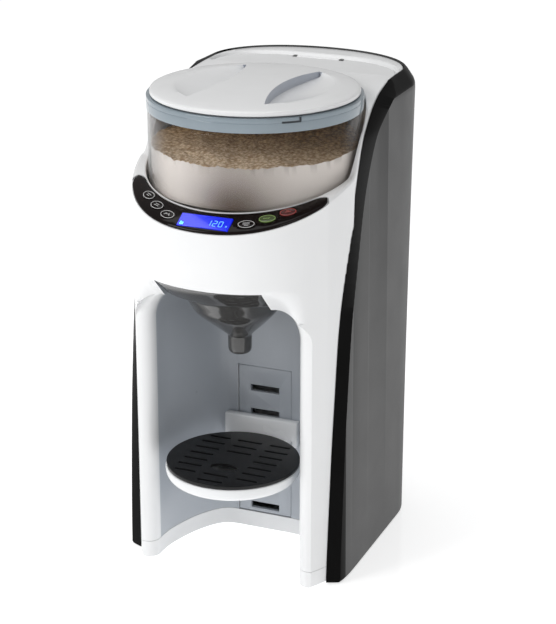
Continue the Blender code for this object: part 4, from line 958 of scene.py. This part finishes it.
def button_cap():
    """A button: oval, rounded at its edge and slightly crowned."""
    rows = [(1.0, CAP_BASE), (1.0, CAP_EDGE - 0.0005), (0.985, CAP_EDGE - 0.0001),
            (0.94, CAP_EDGE), (0.7, CAP_EDGE + CAP_CROWN * 0.6),
            (0.35, CAP_EDGE + CAP_CROWN * 0.95), (0.05, CAP_EDGE + CAP_CROWN)]
    return loft([[(x, y, z) for x, y in ellipse(BUTTON_LONG * scale, BUTTON_SHORT * scale, 56)]
                 for scale, z in rows], "button")


def button_rim():
    """A thin printed outline, standing just proud of the button."""
    form = bmesh.new()
    long, short = BUTTON_LONG * 0.97, BUTTON_SHORT * 0.96
    rows = []
    for grow, lift in ((0, 0), (0, RIM_HEIGHT), (-RIM_WIDTH, RIM_HEIGHT), (-RIM_WIDTH, 0)):
        rows.append([form.verts.new((x, y, RIM_Z + lift))
                     for x, y in ellipse(long + grow, short + grow, 56)])
    for k in range(4):
        bridge(form, rows[k], rows[(k + 1) % 4])
    return finish_mesh(form, "outline")


def bars(shapes, z, height):
    """Small printed marks: straight bars given by (x, y, length, width, degrees)."""
    return joined([moved(block((-length / 2, length / 2), (-width / 2, width / 2),
                               (z, z + height)),
                         Matrix.Translation((x, y, 0)) @ Matrix.Rotation(radians(turn), 4, "Z"))
                   for x, y, length, width, turn in shapes], "marks")


# bars on each button
MARKS = {
    "button_left_outer": [(0, 0.0008, 0.0052, 0.0004, 0), (0, -0.0008, 0.0036, 0.0004, 0)],
    "button_left_middle": [(0, 0.0008, 0.0044, 0.0004, 0), (0, -0.0008, 0.0052, 0.0004, 0)],
    "button_left_inner": [(-0.0018, 0, 0.0030, 0.0004, 60), (0.0018, 0, 0.0030, 0.0004, -60),
                          (0, 0, 0.0034, 0.0004, 0)],
    "button_right_inner": [(0, 0.0009, 0.0054, 0.0004, 0), (0, -0.0003, 0.0054, 0.0004, 0),
                           (0, -0.0015, 0.0030, 0.0004, 0)],
    "button_right_middle": [(-0.0006, 0.0, 0.0048, 0.0005, 0), (0.0016, 0.0, 0.0016, 0.0005, 45)],
    "button_right_outer": [(0, 0.0, 0.0050, 0.0005, 0), (0, 0.0012, 0.0026, 0.0004, 0)],
}
# cap finish, print finish, slot
COLOURED = {"button_right_middle": (CAP_GREEN, MARK_GREEN, "button_green"),
            "button_right_outer": (CAP_RED, MARK_RED, "button_red")}
for name, (x, y) in BUTTONS.items():
    place = surface_frame(x, y)
    cap, ink, slot = COLOURED.get(name, (BLACK, MARK_WHITE, "white_gloss"))
    body = name + "_body"
    show(name + "_cap", moved(button_cap(), place), cap, body, slot, name)
    show(name + "_rim", moved(button_rim(), place), ink, body, slot)
    show(name + "_mark", moved(bars(MARKS[name], z=0.00055, height=0.00018), place), ink, body,
         slot)

# ---------------------------------------------------------------- display
window = block(x=(-SCREEN_HALF, SCREEN_HALF), y=(SCREEN_FRONT, SCREEN_BACK), z=(-0.0036, -0.0001))
show("display_window", moved(window, screen), DISPLAY, "body", "display_blue", "display_module",
     bevel=0.0003)
SEGMENTS = {"0": "abcdef", "1": "bc", "2": "abged"}
# each segment's place in half digit widths and heights, and its turn in degrees
SEGMENT_PLACES = {"a": (0, 1, 0), "g": (0, 0, 0), "d": (0, -1, 0), "f": (-1, 0.5, 90),
                  "b": (1, 0.5, 90), "e": (-1, -0.5, 90), "c": (1, -0.5, 90)}
DIGIT_X, DIGIT_Y, DIGIT_PITCH = 0.0040, 0.0004, 0.0048
DIGIT_HALF, DIGIT_RISE = 0.0014, 0.0027
SEGMENT_LENGTH, SEGMENT_WIDTH = 0.0024, 0.00045
# bars: x, y, length, width, degrees
UNIT_BARS = [(0.0186, -0.0026, 0.0012, 0.0004, 0), (0.0186, -0.0018, 0.0012, 0.0004, 0)]
GLOW_BARS = [(-0.0176, -0.0044, 0.0026, 0.0010, 0), (-0.0184, -0.0030, 0.0010, 0.0022, 0),
             (-0.0168, -0.0034, 0.0010, 0.0016, 0)]
digits = []
for k, digit in enumerate("120"):
    for letter in SEGMENTS[digit]:
        right, up, turn = SEGMENT_PLACES[letter]
        digits.append((DIGIT_X + DIGIT_PITCH * k + right * DIGIT_HALF, up * DIGIT_RISE - DIGIT_Y,
                       SEGMENT_LENGTH, SEGMENT_WIDTH, turn))
for name, shapes, ink in (("display_digits", digits + UNIT_BARS, DIGIT),
                          ("display_corner_mark", GLOW_BARS, GLOW)):
    show(name, moved(bars(shapes, z=-0.0001, height=0.00012), screen), ink, "body",
         "display_blue")

# ================================================================ hopper
# radius, z
WALL_PROFILE = [(0.0800, 0.3840), (0.0828, 0.3840), (0.0828, 0.3777), (0.0850, 0.3777),
                (0.0850, 0.2935), (0.0842, 0.2925), (0.0812, 0.2925), (0.0812, 0.2978),
                (0.0828, 0.2980), (0.0828, 0.3740), (0.0800, 0.3785)]
RING_PROFILE = [(0.0800, 0.3893), (0.0857, 0.3893), (0.0857, 0.3862), (0.0855, 0.3860),
                (0.0855, 0.3856), (0.0857, 0.3854), (0.0857, 0.3781), (0.0832, 0.3781),
                (0.0832, 0.3844), (0.0800, 0.3844)]
LID_PROFILE = [(0, 0.3983), (0.015, 0.39825), (0.030, 0.3979), (0.045, 0.3973), (0.058, 0.3965),
               (0.068, 0.3957), (0.076, 0.3949), (0.0805, 0.3941), (0.0822, 0.3936),
               (0.0829, 0.3928), (0.0830, 0.3920), (0.0830, 0.3906), (0.0827, 0.3903),
               (0.0770, 0.3903), (0.0770, 0.3850), (0.0768, 0.3848), (0.0745, 0.3848),
               (0.0745, 0.3880), (0, 0.3880)]
show("hopper_wall", lathe(rounded(WALL_PROFILE, 0.0005, 3, closed=True), 200, closed=True), CLEAR,
     "hopper_unit", "clear_plastic", "hopper")


def groove_tool(degrees, radii, heights, steps=10):
    """A curved bar round the hopper axis; degrees are from the front towards +X."""
    rings = []
    for i in range(steps + 1):
        angle = radians(degrees[0] + (degrees[1] - degrees[0]) * i / steps)
        across, along = sin(angle), -cos(angle)
        (near, far), (low, high) = radii, heights
        section = ((near, low), (far, low), (far, high), (near, high))
        rings.append([(radius * across, radius * along, z) for radius, z in section])
    return loft(rings, "band")


def in_groove(centre, normal):
    return (0.0840 < hypot(centre.x, centre.y) < 0.0854 and 0.3851 < centre.z < 0.3900
            and centre.y < 0 and centre.x > 0.04)


GROOVE_RADII = (0.0846, 0.0870)
ring_grooves = [groove_tool((36.5, 46.9), GROOVE_RADII, (0.3853, 0.3869)),
                groove_tool((45.7, 46.9), GROOVE_RADII, (0.3862, 0.3910), steps=2)]
ring = cut_piece("bayonet_ring", lathe(rounded(RING_PROFILE, 0.0006, 3, closed=True), 200,
                                       closed=True),
                 ring_grooves, RINGS, "hopper_unit", "ring_blue_grey", "hopper_ring", sharp=40)
# painted shade in the ring's groove
second_finish(ring, GROOVE_PAINTED_SHADE, in_groove)

FINGER_REACH, FINGER_R = 0.0575, 0.0657   # half length and outer radius of a finger well
HANDLE_HALF, HANDLE_FLARE = 0.0222, 0.0098


def finger_well(side):
    """Finger well: steep wall at the handle bar, floor rising outward."""
    rings = []
    for i in range(61):
        y = -FINGER_REACH + 2 * FINGER_REACH * i / 60
        inner = HANDLE_HALF + HANDLE_FLARE * (y / FINGER_REACH) ** 2
        outer = max(inner + 0.0006, sqrt(FINGER_R ** 2 - y ** 2))
        lift = 0.0012 * (abs(y) / FINGER_REACH) ** 3
        low = 0.3900 + lift
        ring = [(side * inner, y, low + 0.0022)]
        for k in range(9):
            share = k / 8
            x = inner + 0.0006 + (outer - inner - 0.0006) * share
            ring.append((side * x, y, low + 0.0004 + (0.0062 - lift) * share ** 1.25))
        ring += [(side * outer, y, 0.4050), (side * inner, y, 0.4050)]
        rings.append(ring)
    return loft(rings, "well")


def on_well_wall(centre, normal):
    return abs(normal.x) > 0.7 and centre.z > 0.3880 and hypot(centre.x, centre.y) < 0.070


lid = cut_piece("lid_top", lathe(LID_PROFILE, 200), [finger_well(1), finger_well(-1)], WHITE,
                "lid", "white_gloss", "hopper_lid", sharp=34, bevel=0.0007, segments=3, limit=40)
# painted shade on the finger wells' steep walls
second_finish(lid, WELL_PAINTED_SHADE, on_well_wall)

POWDER_R, POWDER_LEVEL, POWDER_LOW = 0.0823, 0.3500, 0.3166


def powder_z(x, y):
    """Lumps from coarse to fine, and a bank rising to the rear."""
    at = Vector((x, y, 0.0))
    z = (POWDER_LEVEL + 0.0022 * noise.noise(at * 38)
         + 0.0012 * noise.noise(at * 110 + Vector((3, 1, 0))))
    z += 0.0010 * noise.noise(at * 420) + 0.0007 * noise.noise(at * 900 + Vector((0, 5, 2)))
    return z + 0.010 * max(0.0, (y - 0.01) / 0.07) ** 2


def powder_mesh(sides=260, rings=64):
    """Loose powder lying against the wall, with a lumpy top."""
    form = bmesh.new()
    centre = form.verts.new((0, 0, powder_z(0, 0)))
    rows = []
    for k in range(1, rings + 1):
        radius = POWDER_R * k / rings
        places = [(radius * sin(2 * pi * i / sides), -radius * cos(2 * pi * i / sides))
                  for i in range(sides)]
        rows.append([form.verts.new((x, y, powder_z(x, y))) for x, y in places])
    rim = rows[-1]
    for k in range(1, 5):
        rows.append([form.verts.new((vert.co.x, vert.co.y,
                                     vert.co.z + (POWDER_LOW - vert.co.z) * k / 4))
                     for vert in rim])
    for i in range(sides):
        form.faces.new((centre, rows[0][i], rows[0][(i + 1) % sides]))
    for here, after in zip(rows, rows[1:]):
        for i in range(sides):
            j = (i + 1) % sides
            form.faces.new((here[i], after[i], after[j], here[j]))
    form.faces.new(rows[-1])
    return finish_mesh(form, "powder")


powder = show("powder_fill", powder_mesh(), POWDER_SIDE, "hopper_unit", "nylon", sharp=80)
second_finish(powder, POWDER_TOP, lambda centre, normal: hypot(centre.x, centre.y) < 0.0822
              and centre.z > 0.33)

# ================================================================ funnel
FUNNEL_Y = -0.0450           # point the top plate's rings are drawn round
CORNER_X, CORNER_REAR = 0.0461, 0.0054
# top plate: z, half width, inset from the head's front, rear y
PLATE = [(0.2574, 0.0446, 0.0022, 0.0054), (0.2566, 0.0446, 0.0027, 0.0054),
         (0.2500, 0.0446, 0.0096, 0.0053), (0.2422, 0.0446, 0.0177, 0.0052),
         (0.2412, 0.0440, 0.0190, 0.0048)]
# cone, spout and the way through them: z, half width, front y, rear y
CONE = smooth_line([
    (0.2400, 0.0418, -0.0862, 0.0030), (0.2310, 0.0376, -0.0800, -0.0005),
    (0.2220, 0.0328, -0.0733, -0.0042), (0.2100, 0.0215, -0.0575, -0.0130),
    (0.2025, 0.0135, -0.0478, -0.0196), (0.1985, 0.0101, -0.0432, -0.0229),
    (0.1960, 0.0097, -0.0427, -0.0233)], 4)
SPOUT = [(0.1870, 0.0096, -0.0426, -0.0234), (0.1846, 0.0091, -0.0421, -0.0239),
         (0.1834, 0.0080, -0.0410, -0.0250), (0.1830, 0.0068, -0.0398, -0.0262)]
HOLLOW = [(0.2700, 0.0400, -0.0850, 0.0000), (0.2420, 0.0396, -0.0836, -0.0006),
          (0.2230, 0.0310, -0.0710, -0.0062), (0.2110, 0.0195, -0.0550, -0.0150),
          (0.2015, 0.0085, -0.0422, -0.0240), (0.1990, 0.0058, -0.0388, -0.0272),
          (0.1700, 0.0058, -0.0388, -0.0272)]


def plate_angles():
    """Angles from the front, all the way round, with one at each corner."""
    front = atan2(CORNER_X, -(head_front(CORNER_X, 0.0004) - FUNNEL_Y))
    rear = atan2(CORNER_X, -(CORNER_REAR - FUNNEL_Y))
    half = [front * i / 24 for i in range(25)]
    half += [front + (rear - front) * i / 16 for i in range(1, 17)]
    half += [rear + (pi - rear) * i / 14 for i in range(1, 15)]
    return half + [2 * pi - angle for angle in half[-2:0:-1]]


def plate_ring(z, half, inset, rear, angles):
    """The plate's outline at each angle, found by halving the interval."""
    head_half, head_reach = HEAD_HALF - inset, HEAD_REACH - inset
    ring = []
    for angle in angles:
        across, along = sin(angle), -cos(angle)
        low, high = 0.0, 0.15
        for _ in range(40):
            middle = (low + high) / 2
            x, y = across * middle, FUNNEL_Y + along * middle
            inside = (abs(x) <= half and y <= rear
                      and (abs(x) / head_half) ** HEAD_POWER
                      + (abs(min(y, 0.0)) / head_reach) ** HEAD_POWER <= 1)
            low, high = (middle, high) if inside else (low, middle)
        ring.append((across * low, FUNNEL_Y + along * low, z))
    return ring


def ellipse_ring(z, half, front, rear, angles):
    depth, middle = (rear - front) / 2, (rear + front) / 2
    return [(half * sin(angle), middle - depth * cos(angle), z) for angle in angles]


angles = plate_angles()
funnel_rings = [plate_ring(*row, angles) for row in PLATE]
funnel_rings += [ellipse_ring(*row, angles) for row in CONE + SPOUT]
full_turn = [2 * pi * i / 72 for i in range(72)]
hollow = loft([ellipse_ring(*row, full_turn) for row in HOLLOW], "hollow")
nozzle_way = moved(rod(0.0055, -0.01, 0.01), Matrix.Translation((0.0260, 0.0030, 0.2500))
                   @ Matrix.Rotation(pi / 2, 4, "X"))
cut_piece("funnel_fine", loft(funnel_rings, "funnel"), [hollow, nozzle_way], SMOKE,
          "funnel_unit", "smoke_plastic", "funnel", sharp=34, bevel=0.0003, limit=40)

# ================================================================ stand
TRAY = paint("tray_white", (0.83, 0.84, 0.85), rough=0.26, mottle=0.01, grain=0.02, coat=0.2)
# radius, z
TRAY_PROFILE = [(0, 0.0852), (0.0480, 0.0852), (0.0500, 0.0866), (0.0506, 0.0919),
                (0.0548, 0.0919), (0.0551, 0.0893), (0.0546, 0.0856), (0.0528, 0.0824),
                (0.0494, 0.0805), (0.0430, 0.0798), (0, 0.0798)]
GRILLE_PROFILE = [(0, 0.0950), (0.0543, 0.0950), (0.0543, 0.0922), (0.0500, 0.0922),
                  (0.0498, 0.0900), (0.0480, 0.0900), (0.0478, 0.0930), (0, 0.0930)]
CUT_LOW, CUT_HIGH = 0.0880, 0.1000
SLOT_PITCH, SLOT_R = 0.0116, 0.0014
show("tray_bowl", lathe(rounded(TRAY_PROFILE, 0.0018, 5), 180, centre=(0, STAND_Y)), TRAY,
     "stand", "white_gloss", "stand_tray", sharp=38)


def slot_tool(x0, x1, y):
    """A slot along x with round ends; y is from the stand's centre."""
    outline = []
    for centre_x, start in ((x1 - SLOT_R, -90), (x0 + SLOT_R, 90)):
        for k in range(9):
            angle = radians(start + 180 * k / 8)
            outline.append((centre_x + SLOT_R * cos(angle), y + SLOT_R * sin(angle)))
    return moved(prism(outline, CUT_LOW, CUT_HIGH, "slot"), Matrix.Translation((0, STAND_Y, 0)))


slots = []                   # x0, x1, y
for k in range(-3, 4):
    reach = 0.0385 if abs(k) < 3 else 0.0360
    slots += [(0.0175, reach, SLOT_PITCH * k), (-reach, -0.0175, SLOT_PITCH * k)]
slots += [(-0.0110, 0.0110, SLOT_PITCH * k) for k in (-4, -3, 1, 2, 3)]
oval_hole = prism(ellipse(0.0115, 0.0062, 40, (0, STAND_Y - 0.0186)), CUT_LOW, CUT_HIGH)
cut_piece("grille_fine", lathe(rounded(GRILLE_PROFILE, 0.0006, 3), 180, centre=(0, STAND_Y)),
          [joined([slot_tool(*slot) for slot in slots], "slots"), oval_hole], GRILLE, "grille",
          "black_satin", "stand_grille", sharp=36, bevel=0.0003, limit=50)
refined("stand_bracket", 0.0008, material=TRAY, segments=3)

# ================================================================ water tank and the rest
refined("water_tank", 0.0004)
refined("tank_lid", 0.0006, segments=3)
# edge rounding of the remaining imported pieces
EDGE_WIDTHS = {
    "lid_seal": 0.0, "hopper_floor": 0.0003, "dosing_wheel": 0.0003, "stirrer": 0.0006,
    "drive_coupling": 0.0003, "drive_gear": 0.0001, "motor_pinion": 0.0001, "gear_motor": 0.0003,
    "powder_chute": 0.0002, "chute_gasket": 0.0002, "tank_valve": 0.0002, "valve_seal": 0.0002,
    "tank_seat": 0.0003, "level_float": 0.0006, "pump": 0.0005, "heater": 0.0005,
    "water_nozzle": 0.0002, "main_board": 0.0002, "ui_board": 0.0002, "appliance_inlet": 0.0003,
    "switch_housing": 0.0003, "power_switch": 0.0004, "tank_hinge_pin": 0.0001,
    "bottom_plate": 0.0003, "bottom_screw_1": 0.0003, "bottom_screw_2": 0.0003,
    "bottom_screw_3": 0.0003, "bottom_screw_4": 0.0003, "foot_1": 0.0004, "foot_2": 0.0004,
    "foot_3": 0.0005, "foot_4": 0.0005, "cold_tube": 0.0, "pressure_tube": 0.0,
    "nozzle_tube": 0.0, "valve_spring": 0.0,
}
for node, width in EDGE_WIDTHS.items():
    refined(node, width)

# ================================================================ stage, light and camera
floor = bpy.data.objects.new("floor", block(x=(-3.0, 3.0), y=(-3.0, 3.0), z=(-0.02, -0.0002)))
bpy.context.scene.collection.objects.link(floor)
floor.data.materials.append(paint("floor_white", (0.86, 0.865, 0.87), rough=0.12, mottle=0.004,
                                  rough_vary=0.02, emit=(1.0, 1.0, 1.0), emit_strength=0.60))


def studio_world():
    """White surroundings, brighter to the camera than as a light."""
    world = bpy.data.worlds.new("studio")
    bpy.context.scene.world = world
    world.use_nodes = True
    tree = world.node_tree
    back = tree.nodes["Background"]
    back.inputs["Color"].default_value = (1.0, 1.0, 1.0, 1)
    seen = add_node(tree, "LightPath").outputs["Is Camera Ray"]
    power = add_node(tree, "MapRange", {"To Min": 0.44, "To Max": 1.0, "Value": seen})
    tree.links.new(power.outputs["Result"], back.inputs["Strength"])


def lamp(name, place, target, size, power):
    """A rectangular area light; size is (width, height), power in watts."""
    data = bpy.data.lights.new(name, "AREA")
    data.shape = "RECTANGLE"
    data.size, data.size_y = size
    data.energy = power
    thing = bpy.data.objects.new(name, data)
    bpy.context.scene.collection.objects.link(thing)
    thing.location = place
    thing.rotation_euler = (Vector(target) - Vector(place)).to_track_quat("-Z", "Y").to_euler()


studio_world()
lamp("key", place=(-0.9, -1.1, 1.1), target=(0, -0.02, 0.2), size=(0.7, 0.9), power=11.0)
lamp("fill", place=(1.3, -0.9, 0.9), target=(0.05, 0, 0.2), size=(0.5, 1.2), power=3.0)
lamp("top", place=(-0.3, 0.2, 1.6), target=(0, 0, 0.3), size=(0.8, 0.8), power=3.5)

CAMERA_DOWN, CAMERA_TURN = 19.77, 22.44   # degrees below level, degrees round to the right
camera = bpy.data.objects.new("camera", bpy.data.cameras.new("camera"))
bpy.context.scene.collection.objects.link(camera)
camera.location = (0.5859, -1.3718 + AXIS_Y, 0.7561)
camera.rotation_euler = (radians(90 - CAMERA_DOWN), 0, radians(CAMERA_TURN))
camera.data.sensor_fit = "HORIZONTAL"
camera.data.sensor_width = 36
camera.data.lens = 126.2
camera.data.shift_y = -0.0305
bpy.context.scene.camera = camera
bpy.context.scene.view_settings.view_transform = "Standard"
